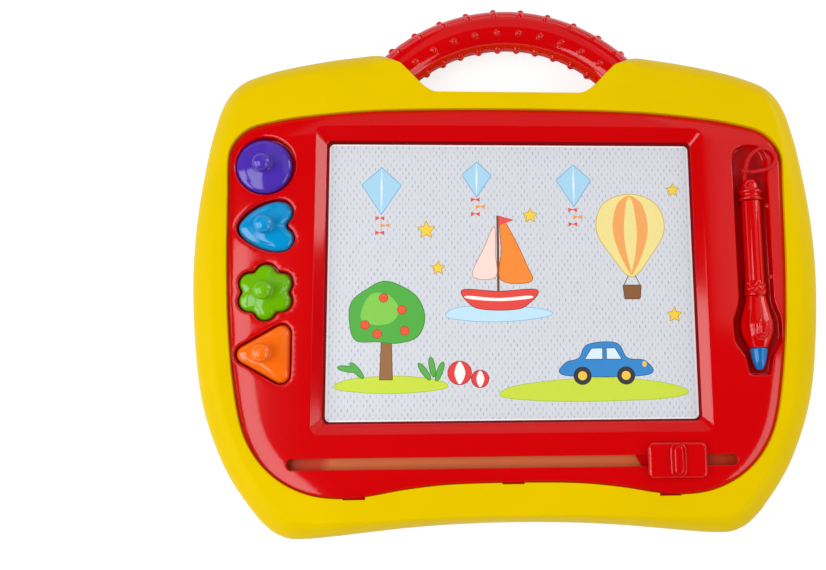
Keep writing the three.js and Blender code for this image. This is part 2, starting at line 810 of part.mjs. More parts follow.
function frontPanel() {
  const plate = layers(
    [inset(panelOutline, fit), panelRim - panelSkirt],
    [inset(panelOutline, fit), panelRim],
    [inset(panelOutline, panelRoll * 0.4), panelRim + panelRollRise * 0.7],
    [inset(panelOutline, panelRoll), panelFace],
  );
  const hollow = layers(
    [inset(panelOutline, wall + fit), panelRim - panelSkirt - overrun],
    [inset(panelOutline, wall + fit), panelUnder - panelRollRise / 2],
    [inset(panelOutline, panelRoll), panelUnder],
  );
  const skirt = layers(
    [roundedBox(windowWidth + 2 * wall, windowHeight + 2 * wall, windowCorner, windowX), windowUnder],
    [roundedBox(bevelWidth + 2 * wall, bevelHeight + 2 * wall, bevelCorner, windowX), panelUnder],
    [roundedBox(bevelWidth + 2 * wall, bevelHeight + 2 * wall, bevelCorner, windowX), panelFace - wall / 2],
  );
  const under = panelFace - wall / 2;
  const cups = stampKinds.map(({ outline, x, y }) => {
    return prism(moved(inset(outline, -pocketSkin), x, y), stampFloor - pocketSkin, under);
  });
  const shelf = panelFace - wellShelfDepth;
  const trough = joined(
    prism(wellOutline(pocketSkin), shelf - pocketSkin, under),
    penRoom(fit + pocketSkin).intersect(
      block(wellX - panelRoll * 2, panelHalfWidth, caseBottom, caseTop, 0, penHeight),
    ),
  );
  const slotRim = prism(
    roundedBox(slotLength + 2 * wall, slotWidth + 2 * wall, slotWidth / 2 + wall, windowX, slotY),
    panelUnder - wall,
    under,
  );
  const bosses = clampBosses.map((p) => post(p.x, p.y, clampBossRadius, clampTop + fit, under));
  const tabs = tabPlaces.map(snapTab);
  const limit = prism(inset(panelOutline, fit), 0, panelRim);
  const fittings = joined(skirt, slotRim, trough, ...cups, ...bosses).intersect(limit);
  const body = joined(cut(plate, hollow), fittings, ...tabs);

  const bevelGrow = overrun;
  const windowCut = layers(
    [roundedBox(windowWidth, windowHeight, windowCorner, windowX), windowUnder - overrun],
    [roundedBox(windowWidth, windowHeight, windowCorner, windowX), sill],
    [roundedBox(bevelWidth, bevelHeight, bevelCorner, windowX), panelFace],
    [roundedBox(bevelWidth + bevelGrow, bevelHeight + bevelGrow, bevelCorner, windowX), panelFace + overrun],
  );
  const pockets = stampKinds.map(({ outline, x, y }) => {
    const mouth = moved(outline, x, y);
    return layers(
      [mouth, stampFloor],
      [mouth, panelFace - pocketChamfer],
      [inset(mouth, -pocketChamfer), panelFace + fit],
    );
  });
  const well = prism(wellOutline(0), shelf, panelFace + overrun);
  const slot = prism(
    roundedBox(slotLength, slotWidth, slotWidth / 2, windowX, slotY),
    panelUnder - wall - overrun,
    panelFace + overrun,
  );
  const pilots = clampBosses.map((p) => {
    const top = clampBottom + clampScrew.headHeight + clampScrew.length + overrun;
    return post(p.x, p.y, clampScrew.shank + fit, clampTop, top, screwSides);
  });
  const open = cut(body, windowCut, slot, well, penRoom(fit), ...pockets, ...pilots);
  return joined(open, ...nubs());
}

// Handle halves: open troughs that meet at the tube's axis, with grip bumps outside
function handleHalf(side) {
  const seam = fit / 2;
  const outer = ovalSection(tubeHalfWidth, tubeHalfDepth - seam, 0, 180, tubeSectionSteps);
  const inner = ovalSection(tubeHalfWidth - tubeWall, tubeHalfDepth - tubeWall - seam, 180, 0, tubeSectionSteps);
  const front = [...outer, ...inner].map((p) => point(p.x, p.y + seam));
  const section = side > 0 ? front : front.map((p) => point(p.x, -p.y)).reverse();
  const shell = swept(section, tubeAngles);
  const stationStep = (180 - 2 * bumpFirstAngle) / (bumpStations - 1);
  const bumps = bumpAngles.flatMap((row) => {
    return Array.from({ length: bumpStations }, (_, i) => {
      const turn = degrees(row);
      const angle = bumpFirstAngle + i * stationStep;
      const across = point(Math.sin(turn), Math.cos(turn) * side);
      const seat = point(across.x * (tubeHalfWidth - wall / 2), across.y * (tubeHalfDepth - wall / 2));
      const length = bumpHeight + wall / 2;
      const geometry = new THREE.CylinderGeometry(bumpRadius * 0.45, bumpRadius, length, bumpSides);
      geometry.translate(0, length / 2, 0);
      const out = handlePoint(1, angle).sub(point(0, handleY));
      const direction = new THREE.Vector3(out.x * across.x, out.y * across.x, across.y);
      const up = new THREE.Vector3(0, 1, 0);
      geometry.applyQuaternion(new THREE.Quaternion().setFromUnitVectors(up, direction.normalize()));
      const place = handlePoint(handleRadius + seat.x, angle);
      return solid(geometry.translate(place.x, place.y, tubeAxisHeight + seat.y));
    });
  });
  const holes = rootBosses.map((p) => post(p.x, p.y, bossRadius + fit, 0, frameHeight + bandSide));
  const half = side > 0 ? [tubeAxisHeight + seam, frameHeight + bandSide] : [-bandSide, tubeAxisHeight - seam];
  const keep = block(-caseHalfWidth, caseHalfWidth, handleY, caseTop + bandTop + bandSide, ...half);
  return cut(joined(shell, ...bumps).intersect(keep), ...holes);
}

// Eraser pieces, made where they rest
const barReach = windowHeight / 2 + wall;
const barFootY = -barReach - shoeLength;

// The bar, its shoes, and a plate that steps up behind the slot and carries the neck, in one moulding
function eraserBar() {
  const left = eraserX - barHalfWidth;
  const right = eraserX + barHalfWidth;
  const plateLeft = eraserX - neckHalfLength;
  const plateRight = eraserX + neckHalfLength;
  const top = clampTop - fit;
  const webTop = -clampHeight / 2 - fit;
  const webBottom = webTop - wall;
  const plateBottom = slotY - slotWidth / 2 - carriageMargin;
  const tailLeft = eraserX - knobWidth / 2 - carriageTail;
  const upperPlate = [
    point(tailLeft + carriageSlant, plateBottom),
    point(plateRight, plateBottom),
    point(plateRight, webTop),
    point(plateLeft, webTop),
    point(plateLeft, slotY + slotWidth / 2 + carriageMargin),
    point(tailLeft, slotY + slotWidth / 2 + carriageMargin),
  ];
  const neckCorner = slotWidth / 2 - 2 * fit;
  const neck = roundedBox(2 * neckHalfLength, slotWidth - 2 * fit, neckCorner, eraserX, slotY);
  const body = joined(
    block(left, right, -barReach, barReach, shoeBottom, top),
    block(left, right, barFootY - overrun, barReach + shoeLength, shoeBottom, shoeTop),
    block(plateLeft, plateRight, webBottom, barFootY, shoeBottom, shoeTop),
    block(plateLeft, plateRight, webBottom, webTop, shoeBottom, carriageTop),
    prism(upperPlate, carriageBottom, carriageTop),
    prism(neck, carriageBottom + fit, panelFace),
  );
  const groove = magnetHalfWidth + fit;
  const grooveEnd = windowHeight / 2 + fit;
  const floor = top - magnetThickness - fit;
  const sink = carriageBottom + knobScrew.headHeight + fit;
  const holes = knobScrewPlaces.flatMap((p) => [
    post(p.x, p.y, knobScrew.shank + fit, 0, panelFace + overrun, screwSides),
    post(p.x, p.y, knobScrew.head + fit, 0, sink, screwSides),
  ]);
  return cut(
    body,
    block(eraserX - groove, eraserX + groove, -grooveEnd, grooveEnd, floor, top + overrun),
    ...holes,
  );
}

const knobScrewPlaces = [-0.62, 0.62].map((share) => point(eraserX + share * neckHalfLength, slotY));
const knobFoot = panelFace + fit;

function eraserKnob() {
  const top = knobFoot + knobHeight;
  const plan = roundedBox(knobWidth, knobDepth, knobCorner, eraserX, slotY);
  const ridge = roundedBox(ridgeWidth, ridgeDepth, ridgeWidth * 0.4, eraserX, slotY);
  const rib = roundedBox(ribWidth, ribDepth, ribWidth * 0.49, eraserX, slotY);
  const body = joined(
    layers([plan, knobFoot], [plan, top - knobEdge], [inset(plan, knobEdge), top]),
    layers([ridge, top - overrun], [ridge, top + ridgeHeight * 0.6], [inset(ridge, knobEdge), top + ridgeHeight]),
    prism(rib, top, top + ridgeHeight + ribHeight),
  );
  const pilots = knobScrewPlaces.map((p) => {
    const end = carriageBottom + knobScrew.headHeight + knobScrew.length + fit * 2;
    return post(p.x, p.y, knobScrew.shank + fit, 0, end, screwSides);
  });
  return cut(body, ...pilots);
}

// Stamp body: a shaped plate, a domed back, a neck and a round knob
function stampBody(outline) {
  const plan = inset(outline, stampClearance);
  const scaled = (share) => plan.map((p) => p.clone().multiplyScalar(share));
  const plateTop = stampPlate;
  const domeTop = stampPlate + stampDome;
  const dome = layers(
    [plan, 0],
    [plan, plateTop],
    [scaled(0.93), plateTop + stampDome * 0.3],
    [scaled(0.7), plateTop + stampDome * 0.68],
    [scaled(0.4), domeTop],
  );
  const knob = turned(
    [
      [0, plateTop],
      [stampNeckRadius, plateTop],
      [stampNeckRadius, stampHeight - stampKnobRadius * 1.25],
      [stampKnobRadius, stampHeight - stampKnobRadius * 0.8],
      [stampKnobRadius * 0.94, stampHeight - stampKnobRadius * 0.4],
      [stampKnobRadius * 0.6, stampHeight - stampKnobRadius * 0.08],
      [0, stampHeight],
    ],
    bossSides,
  ).rotate([90, 0, 0]);
  const recess = prism(inset(plan, stampMagnetMargin - fit), -overrun, stampMagnet + fit);
  return cut(joined(dome, knob), recess);
}

function screwGeometry({ shank, length, head, headHeight }) {
  const outline = [
    [0, 0],
    [head, 0],
    [head, headHeight],
    [shank, headHeight],
    [shank, headHeight + length - shank],
    [0, headHeight + length],
  ];
  return geometryOf(turned(outline, screwSides).rotate([90, 0, 0]));
}

// The cord's loop: out of the tail, over the well's right edge and back to its own strand
const cordRoute = [
  [161.8, 63.4, 21.8],
  [161.8, 69, 21.8],
  [161.8, 72.4, 23],
  [161.9, 76.2, 25.3],
  [162.6, 80.4, 27.2],
  [164.8, 84.2, 28.2],
  [168.4, 87.4, 28.4],
  [172.6, 89.2, 28],
  [177, 89, 27.3],
  [180.7, 86.8, 27],
  [182.3, 83, 26.9],
  [181.2, 78.9, 27],
  [177.7, 75.6, 27.2],
  [173.2, 74.1, 26.6],
  [168.9, 73.6, 25.4],
  [165.4, 73.4, 24.1],
].map(([x, y, z]) => new THREE.Vector3(x, y, z));
const cordCurve = new THREE.CatmullRomCurve3(cordRoute);

function cordSolid() {
  const section = Array.from({ length: cordSides }, (_, i) => {
    const angle = (2 * Math.PI * i) / cordSides;
    return point(cordRadius * Math.cos(angle), cordRadius * Math.sin(angle));
  });
  const geometry = new THREE.ExtrudeGeometry(new THREE.Shape(section), {
    steps: cordSteps,
    extrudePath: cordCurve,
    bevelEnabled: false,
  });
  return solid(geometry);
}

function knotSolid() {
  const half = knotLength / 2;
  const bore = cordRadius + cordPlay;
  const ring = turned(
    [
      [0, -half],
      [knotRadius * 0.75, -half],
      [knotRadius, 0],
      [knotRadius * 0.75, half],
      [0, half],
    ],
    cordSides,
  ).subtract(turned([[0, -knotLength], [bore, -knotLength], [bore, knotLength], [0, knotLength]], cordSides));
  const along = cordRoute[3].clone().sub(cordRoute[2]).normalize();
  const place = cordRoute[2].clone().lerp(cordRoute[3], 0.5);
  const turn = new THREE.Quaternion().setFromUnitVectors(new THREE.Vector3(0, 1, 0), along);
  const matrix = new THREE.Matrix4().compose(place, turn, new THREE.Vector3(1, 1, 1));
  return ring.transform(matrix.elements);
}

// Assembly
const board = new THREE.Group();
board.name = "magnetic_drawing_board";

function add(name, shape, material, parent = board) {
  const geometry = shape.isBufferGeometry ? shape : geometryOf(shape);
  const mesh = new THREE.Mesh(geometry, material);
  mesh.name = name;
  parent.add(mesh);
  return mesh;
}

add("front_frame", frontFrame(), yellow);
add("rear_cover", rearCover(), yellow);
add("front_panel", frontPanel(), red);
add("handle_front_half", handleHalf(1), red);
add("handle_rear_half", handleHalf(-1), red);

const screenPlan = roundedBox(screenWidth, screenHeight, windowCorner, windowX);
add("screen_film", prism(screenPlan, filmTop - screenFilm, filmTop), plastic(0xdee4ea, 0.2));
add("screen_core", prism(screenPlan, coreTop - screenCore, coreTop), plastic(0xe9ecef, 0.6));
add("screen_back", prism(screenPlan, backFilmTop - screenFilm, backFilmTop), plastic(0xd8dcdf, 0.4));

const clampRing = cut(
  prism(roundedBox(clampWidth, clampHeight, windowCorner, windowX), clampBottom, clampTop),
  prism(
    roundedBox(clampInnerWidth, clampInnerHeight, clampCorner, windowX),
    clampBottom - overrun,
    clampTop + overrun,
  ),
  ...clampBosses.flatMap((p) => [
    post(p.x, p.y, clampScrew.shank + fit, 0, clampTop + overrun, screwSides),
    post(p.x, p.y, clampScrew.head + fit, 0, clampBottom + clampScrew.headHeight + fit, screwSides),
  ]),
);
add("screen_clamp_frame", clampRing, plastic(0xf2f2ee, 0.5));

add("eraser_knob", eraserKnob(), red);
add("eraser_bar", eraserBar(), red);
const stripTop = clampTop - fit;
const strip = block(
  eraserX - magnetHalfWidth,
  eraserX + magnetHalfWidth,
  -windowHeight / 2,
  windowHeight / 2,
  stripTop - magnetThickness,
  stripTop,
);
add("eraser_magnet_strip", strip, magnetGrey);

for (const { name, outline, material, x, y, lean } of stampKinds) {
  const group = new THREE.Group();
  group.position.set(x + lean, y, stampFloor + fit);
  board.add(group);
  add(`${name}_stamp`, stampBody(outline), material, group);
  const magnetPlan = inset(outline, stampClearance + stampMagnetMargin);
  add(`${name}_stamp_magnet`, prism(magnetPlan, 0, stampMagnet), magnetGrey, group);
}

const pen = new THREE.Group();
pen.position.set(penX, penTipY, penHeight);
board.add(pen);

function borePairs(radius, low, high) {
  return [
    [0, low],
    [radius, low],
    [radius, high],
    [0, high],
  ];
}

const spigot = barrelBore - fit;
const tipSpigot = tipRadius * 0.6;
const cordHole = turned(borePairs(cordRadius + cordPlay, capTop - cordHoleDepth, capTop + overrun), cordSides);
const capBody = cut(
  joined(turned(capPairs), turned(borePairs(spigot, capFoot - spigotLength, capFoot + overrun), bossSides)),
  cordHole.translate([-cordHoleShift, 0, 0]),
);
const barrelBody = cut(
  turned(barrelPairs),
  turned(borePairs(barrelBore, barrelFoot - overrun, barrelTop + overrun), bossSides),
);
const bulbBody = cut(
  joined(turned(bulbPairs), turned(borePairs(spigot, bulbTop - overrun, bulbTop + spigotLength), bossSides)),
  turned(borePairs(tipSpigot + fit, bulbFoot - overrun, bulbFoot + spigotLength + fit), bossSides),
);
const tipBody = cut(
  joined(turned(tipPairs), turned(borePairs(tipSpigot, tipLength - overrun, tipLength + spigotLength), bossSides)),
  turned(
    borePairs(tipMagnetRadius + fit, tipLength - tipMagnetLength, tipLength + spigotLength + overrun),
    screwSides,
  ),
);
const tipMagnet = turned(
  borePairs(tipMagnetRadius, tipLength - tipMagnetLength + fit, tipLength + fit),
  screwSides,
);
add("pen_tail_cap", capBody, red, pen);
add("pen_barrel", barrelBody, red, pen);
add("pen_bulb", bulbBody, red, pen);
add("pen_tip", tipBody, plastic(0x0a82c8), pen);
add("pen_tip_magnet", tipMagnet, magnetGrey, pen);
add("pen_cord", cordSolid(), plastic(0xc80008, 0.8));
add("pen_cord_knot", knotSolid(), plastic(0xc80008, 0.8));

function addScrews(name, places, screw, height) {
  const geometry = screwGeometry(screw);
  places.forEach((p, i) => {
    add(`${name}_${i + 1}`, geometry, steel).position.set(p.x, p.y, height);
  });
}

addScrews("case_screw", caseScrewPlaces, caseScrew, caseHeadDepth);
addScrews("clamp_screw", clampBosses, clampScrew, clampBottom);
addScrews("knob_screw", knobScrewPlaces, knobScrew, carriageBottom);

// The origin is the middle of the whole board's box, on its flat back
const bounds = new THREE.Box3().setFromObject(board);
const middle = bounds.getCenter(new THREE.Vector3());
board.position.set(-middle.x, -middle.y, -bounds.min.z);

export default board;
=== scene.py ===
"""Looks of a child's magnetic drawing board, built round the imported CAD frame.

Meshes are laid out in millimetres from the middle of the window, as the CAD source is, and are turned
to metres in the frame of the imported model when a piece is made.
"""

import math

import bmesh
import bpy
import numpy as np
from mathutils import Matrix, Vector
from mathutils.geometry import delaunay_2d_cdt


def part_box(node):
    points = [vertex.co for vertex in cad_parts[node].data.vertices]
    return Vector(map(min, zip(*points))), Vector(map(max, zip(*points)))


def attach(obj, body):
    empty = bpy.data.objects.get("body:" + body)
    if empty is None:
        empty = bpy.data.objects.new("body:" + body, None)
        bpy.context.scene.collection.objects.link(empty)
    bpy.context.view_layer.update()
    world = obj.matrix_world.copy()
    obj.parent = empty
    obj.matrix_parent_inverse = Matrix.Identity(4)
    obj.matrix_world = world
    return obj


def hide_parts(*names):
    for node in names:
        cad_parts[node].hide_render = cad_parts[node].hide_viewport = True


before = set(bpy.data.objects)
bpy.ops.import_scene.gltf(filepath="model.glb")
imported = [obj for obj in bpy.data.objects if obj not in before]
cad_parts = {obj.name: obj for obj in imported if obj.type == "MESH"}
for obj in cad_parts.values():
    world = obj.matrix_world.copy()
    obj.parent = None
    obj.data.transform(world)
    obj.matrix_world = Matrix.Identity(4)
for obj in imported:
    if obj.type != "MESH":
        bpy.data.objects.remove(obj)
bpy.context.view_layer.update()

bl_info = {
    "name": "Magnetic drawing board",
    "version": (1, 0, 0),
    "blender": (4, 5, 0),
    "location": "3D View > Sidebar > Drawing board",
    "description": "Builds the shapes and finishes of a magnetic drawing board round its CAD frame",
    "category": "Add Mesh",
}

MM = 0.001

# Layout in millimetres, as in the CAD source, but the handle's tube is 1 mm wider here
FIT = 0.3
WALL = 2.2
WINDOW_X = 1.2
WINDOW = (244.6, 186.6, 3.4)
BEVEL = (260.9, 205.4, 5.0)
BEVEL_MIDDLE = (0.75, 1.1)
PANEL_HALF = (187.2, 129.35)
PANEL_MIDDLE = -12.45
CASE_HALF = (210.0, 163.6)
CASE_MIDDLE = -3.1
BAR_TOP = 130.2
BACK_SEAM = 11.5
FRAME_FOOT = 11.8
FRAME_FACE = 27.0
FLANK = 14.5
PANEL_RIM = 23.8
PANEL_FACE = 25.6
SEAM_FOOT = 21.5
SLOT_FOOT = 21.2
WINDOW_UNDER = 18.7
FILM_TOP = 18.4
FILM = (274.0, 204.6, 3.4)
FILM_THICK = 0.5
SLOT = (290.6, 7.2)
SLOT_Y = -120.1
TRACK_TOP = 17.8
TRACK_STRIP = (294.2, 9.0, 4.2)
TRACK_GROOVE = (290.6, 5.0, 2.2)
HANDLE_RADIUS = 108.0
HANDLE_Y = 70.1
TUBE = (14.0, 11.0)
TUBE_HEIGHT = 13.5
TUBE_ROOT = 35.0
TAB = (14.1, 1.4, 0.3)
TAB_NOTCH = (14.4, 1.9, 0.3)
TAB_PLACES = (-101.1, 0.0, 101.1)
ERASER_X = 106.2
KNOB = (38.6, 23.2, 4.0)
KNOB_FOOT = 25.9
KNOB_SIDE = 1.1
KNOB_ROUND = (2.1, 2.4)
KNOB_BLOCK = (10.6, 21.4, 4.2)
KNOB_RIB = (6.0, 18.0, 2.95)
ROUND_POCKET = 21.0
PETAL_REACH = 11.6
PETAL_RADIUS = 9.15
HEART_HALF = (20.1, 19.2)
HEART_TURN = 4.0
TRIANGLE_SIDE = 54.0
TRIANGLE_CORNER = 8.0
STAMP_FLOOR = 18.5
STAMP_CLEARANCE = 2.4
WELL_X = 164.4
WELL_TOP = 92.2
WELL_LENGTH = 157.7
WELL_DEPTH = 8.0
WELL_SHELF = 6.4
NUB_RADIUS = 2.1
NUB_HEIGHT = 22.9
PEN_X = 164.9
PEN_TIP_Y = -61.9
PEN_HEIGHT = 21.8
PEN_ROOM = 0.45
SCREW_HEAD = 3.3
SCREW_DEPTH = 1.5
SINK_RADIUS = 3.6
SINK_DEPTH = 4.0

film_low, film_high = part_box("screen_film")
SHIFT = np.array(
    [(film_low.x + film_high.x) / 2 - WINDOW_X * MM, (film_low.y + film_high.y) / 2, 0.0]
)


def metres(points):
    """Points in millimetres from the window's middle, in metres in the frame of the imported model."""
    return np.asarray(points, float) * MM + SHIFT


# Outlines: arrays of points in millimetres, counter-clockwise


def spline(points, steps, closed=False, before=None, after=None):
    """A smooth curve through points, with the same number of steps between each pair."""
    p = np.asarray(points, float)
    if closed:
        p = np.vstack([p[-1:], p, p[:2]])
    else:
        first = 2 * p[0] - p[1] if before is None else before
        last = 2 * p[-1] - p[-2] if after is None else after
        p = np.vstack([[first], p, [last]])
    t = np.arange(steps)[:, None] / steps
    rows = []
    for a, b, c, d in zip(p, p[1:], p[2:], p[3:]):
        curve = 2 * b + t * (c - a) + t**2 * (2 * a - 5 * b + 4 * c - d) + t**3 * (3 * b - a - 3 * c + d)
        rows.append(0.5 * curve)
    if not closed:
        rows.append(p[-2:-1])
    return np.vstack(rows)


def bezier(a, b, c, steps):
    """A quadratic curve from a to c, pulled towards b."""
    t = np.linspace(0, 1, steps + 1)[:, None]
    return (1 - t) ** 2 * np.asarray(a) + 2 * t * (1 - t) * np.asarray(b) + t**2 * np.asarray(c)


def mirrored(half):
    """The right half from the bottom to the top, with its mirror image on the left."""
    left = half[1:-1][::-1] * [-1, 1]
    return np.vstack([half, left])


def even(outline, step, closed=True):
    """The outline again, with points an even step apart."""
    loop = np.vstack([outline, outline[:1]]) if closed else outline
    run = np.concatenate([[0], np.cumsum(np.linalg.norm(np.diff(loop, axis=0), axis=1))])
    count = max(3, round(run[-1] / step))
    places = np.linspace(0, run[-1], count + 1)
    if closed:
        places = places[:-1]
    return np.stack([np.interp(places, run, loop[:, i]) for i in range(loop.shape[1])], 1)


def offset(outline, distance):
    """Each point moves outwards by one distance, or by its own from a list; below zero is inwards."""
    before = outline - np.roll(outline, 1, 0)
    after = np.roll(outline, -1, 0) - outline
    before /= np.linalg.norm(before, axis=1)[:, None]
    after /= np.linalg.norm(after, axis=1)[:, None]
    normal = np.stack([before[:, 1] + after[:, 1], -before[:, 0] - after[:, 0]], 1)
    reach = distance / np.maximum(0.5, 1 + (before * after).sum(1))
    return outline + normal * reach[:, None]


def rounded_box(width, height, corner, x=0.0, y=0.0, steps=10, runs=60):
    """A rectangle with round corners; two of them with the same steps can be lofted."""
    points = []
    for turn, sx, sy in ((-90, 1, -1), (0, 1, 1), (90, -1, 1), (180, -1, -1)):
        centre = np.array([sx * (width / 2 - corner), sy * (height / 2 - corner)])
        angles = np.radians(turn + np.linspace(0, 90, steps + 1))
        points.append(centre + corner * np.stack([np.cos(angles), np.sin(angles)], 1))
    sides = []
    for i, arc in enumerate(points):
        following = points[(i + 1) % 4][0]
        share = np.arange(1, runs)[:, None] / runs
        sides += [arc, arc[-1] + share * (following - arc[-1])]
    return np.vstack(sides) + [x, y]


def circle(radius, count, x=0.0, y=0.0):
    """Points evenly round a circle."""
    angles = np.arange(count) * 2 * math.pi / count
    return np.stack([x + radius * np.cos(angles), y + radius * np.sin(angles)], 1)


def rotation(degrees):
    """A matrix that turns rows of flat points counter-clockwise."""
    c, s = math.cos(math.radians(degrees)), math.sin(math.radians(degrees))
    return np.array([[c, s], [-s, c]])


def inside(points, outline):
    """Which of the points lie inside the outline."""
    a, b = outline, np.roll(outline, -1, 0)
    result = np.zeros(len(points), bool)
    for (x0, y0), (x1, y1) in zip(a, b):
        if y0 != y1:
            crossed = (y0 > points[:, 1]) != (y1 > points[:, 1])
            result ^= crossed & (points[:, 0] < x0 + (points[:, 1] - y0) * (x1 - x0) / (y1 - y0))
    return result


def distance_to(points, outline, closed=True):
    """Distance of each point from the nearest part of the outline."""
    ends = np.roll(outline, -1, 0) if closed else outline[1:]
    starts = outline if closed else outline[:-1]
    best = np.full(len(points), 1e9)
    for a, b in zip(starts, ends):
        run = b - a
        share = np.clip(((points - a) @ run) / max(run @ run, 1e-12), 0, 1)
        best = np.minimum(best, np.linalg.norm(points - a - share[:, None] * run, axis=1))
    return best


def smooth(value):
    """Eases a share from 0 to 1, flat at both ends."""
    value = np.clip(value, 0, 1)
    return value * value * (3 - 2 * value)


def level(outline, z):
    """The outline at a height, or at its own height for each point."""
    return np.column_stack([outline, np.broadcast_to(z, len(outline))])


# Shares of the case's half width and half height, and of its flank's width, drawn a little closer to
# the real outline than the CAD's
CASE_SHARES = np.array(
    [
        [0, -0.9485, 0.33],
        [0.178, -0.953, 0.36],
        [0.323, -0.964, 0.42],
        [0.454, -0.98, 0.52],
        [0.559, -0.9935, 0.64],
        [0.618, -0.999, 0.72],
        [0.675, -0.998, 0.8],
        [0.721, -0.976, 0.86],
        [0.758, -0.938, 0.9],
        [0.788, -0.895, 0.92],
        [0.843, -0.8, 0.95],
        [0.889, -0.697, 0.97],
        [0.94, -0.532, 1],
        [0.97, -0.362, 1],
        [0.99, -0.134, 1],
        [0.997, 0.094, 1],
        [0.987, 0.324, 1],
        [0.961, 0.562, 0.97],
        [0.94, 0.682, 0.92],
        [0.926, 0.743, 0.88],
        [0.904, 0.8, 0.84],
        [0.873, 0.846, 0.82],
        [0.829, 0.879, 0.82],
        [0.731, 0.92, 0.82],
        [0.588, 0.959, 0.84],
        [0.453, 0.985, 0.88],
    ]
)
# From the last of those points to the middle of the bar, round the shoulder and the handle's mouth
TIP_CORNER = (81.1, 159.6)
MOUTH_TOP = (72.1, 150.5)
MOUTH_FOOT = (60.2, 137.2)
BAR_CORNER = (53.9, 130.2)
BAR_END = (47.7, 130.2)
# Shares of the panel's half width and half height
PANEL_SHARES = np.array(
    [
        [0, -0.932],
        [0.221, -0.938],
        [0.37, -0.96],
        [0.481, -0.987],
        [0.569, -1],
        [0.673, -0.986],
        [0.764, -0.936],
        [0.84, -0.854],
        [0.896, -0.746],
        [0.931, -0.62],
        [0.958, -0.422],
        [0.979, -0.164],
        [0.992, 0.156],
        [0.998, 0.563],
        [1, 0.714],
        [0.989, 0.786],
        [0.962, 0.845],
        [0.92, 0.89],
        [0.862, 0.916],
        [0.745, 0.949],
        [0.542, 0.981],
        [0.32, 0.995],
        [0, 1],
    ]
)


def case_outline(step):
    """The case's outline, with each point's share of the flank's width as a third column."""
    rows = CASE_SHARES * [CASE_HALF[0], CASE_HALF[1], 1] + [0, CASE_MIDDLE, 0]
    edge = spline(rows, 8, before=rows[1] * [-1, 1, 1])
    tip = bezier([*rows[-1][:2], 0.88], [*TIP_CORNER, 0.5], [*MOUTH_TOP, 0.14], 14)
    foot = bezier([*MOUTH_FOOT, 0.12], [*BAR_CORNER, 0.12], [*BAR_END, 0.12], 8)
    half = np.vstack([edge, tip[1:], foot, [[0, BAR_TOP, 0.12]]])
    half = even(half, step, closed=False)
    left = half[1:-1][::-1] * [-1, 1, 1]
    return np.vstack([half, left])


def panel_outline(step):
    """The panel's outline, with points an even step apart on either half."""
    rows = PANEL_SHARES * PANEL_HALF + [0, PANEL_MIDDLE]
    half = spline(rows, 8, before=rows[1] * [-1, 1], after=rows[-2] * [-1, 1])
    return mirrored(even(half, step, closed=False))


# Meshes


# Twice the area in square millimetres under which triangles between outlines are no face
SLIVER = 1.0


def joined_faces(faces, walls):
    """Groups of triangles that meet without an outline's edge between them."""
    beside = {}
    for number, face in enumerate(faces.tolist()):
        for pair in zip(face, face[1:] + face[:1]):
            if tuple(sorted(pair)) not in walls:
                beside.setdefault(tuple(sorted(pair)), []).append(number)
    near = [[] for _ in faces]
    for group in beside.values():
        for number in group:
            near[number] += group
    groups, met = [], set()
    for start in range(len(faces)):
        group, waiting = [], [start]
        while waiting:
            number = waiting.pop()
            if number not in met:
                met.add(number)
                group.append(number)
                waiting += near[number]
        if group:
            groups.append(group)
    return groups


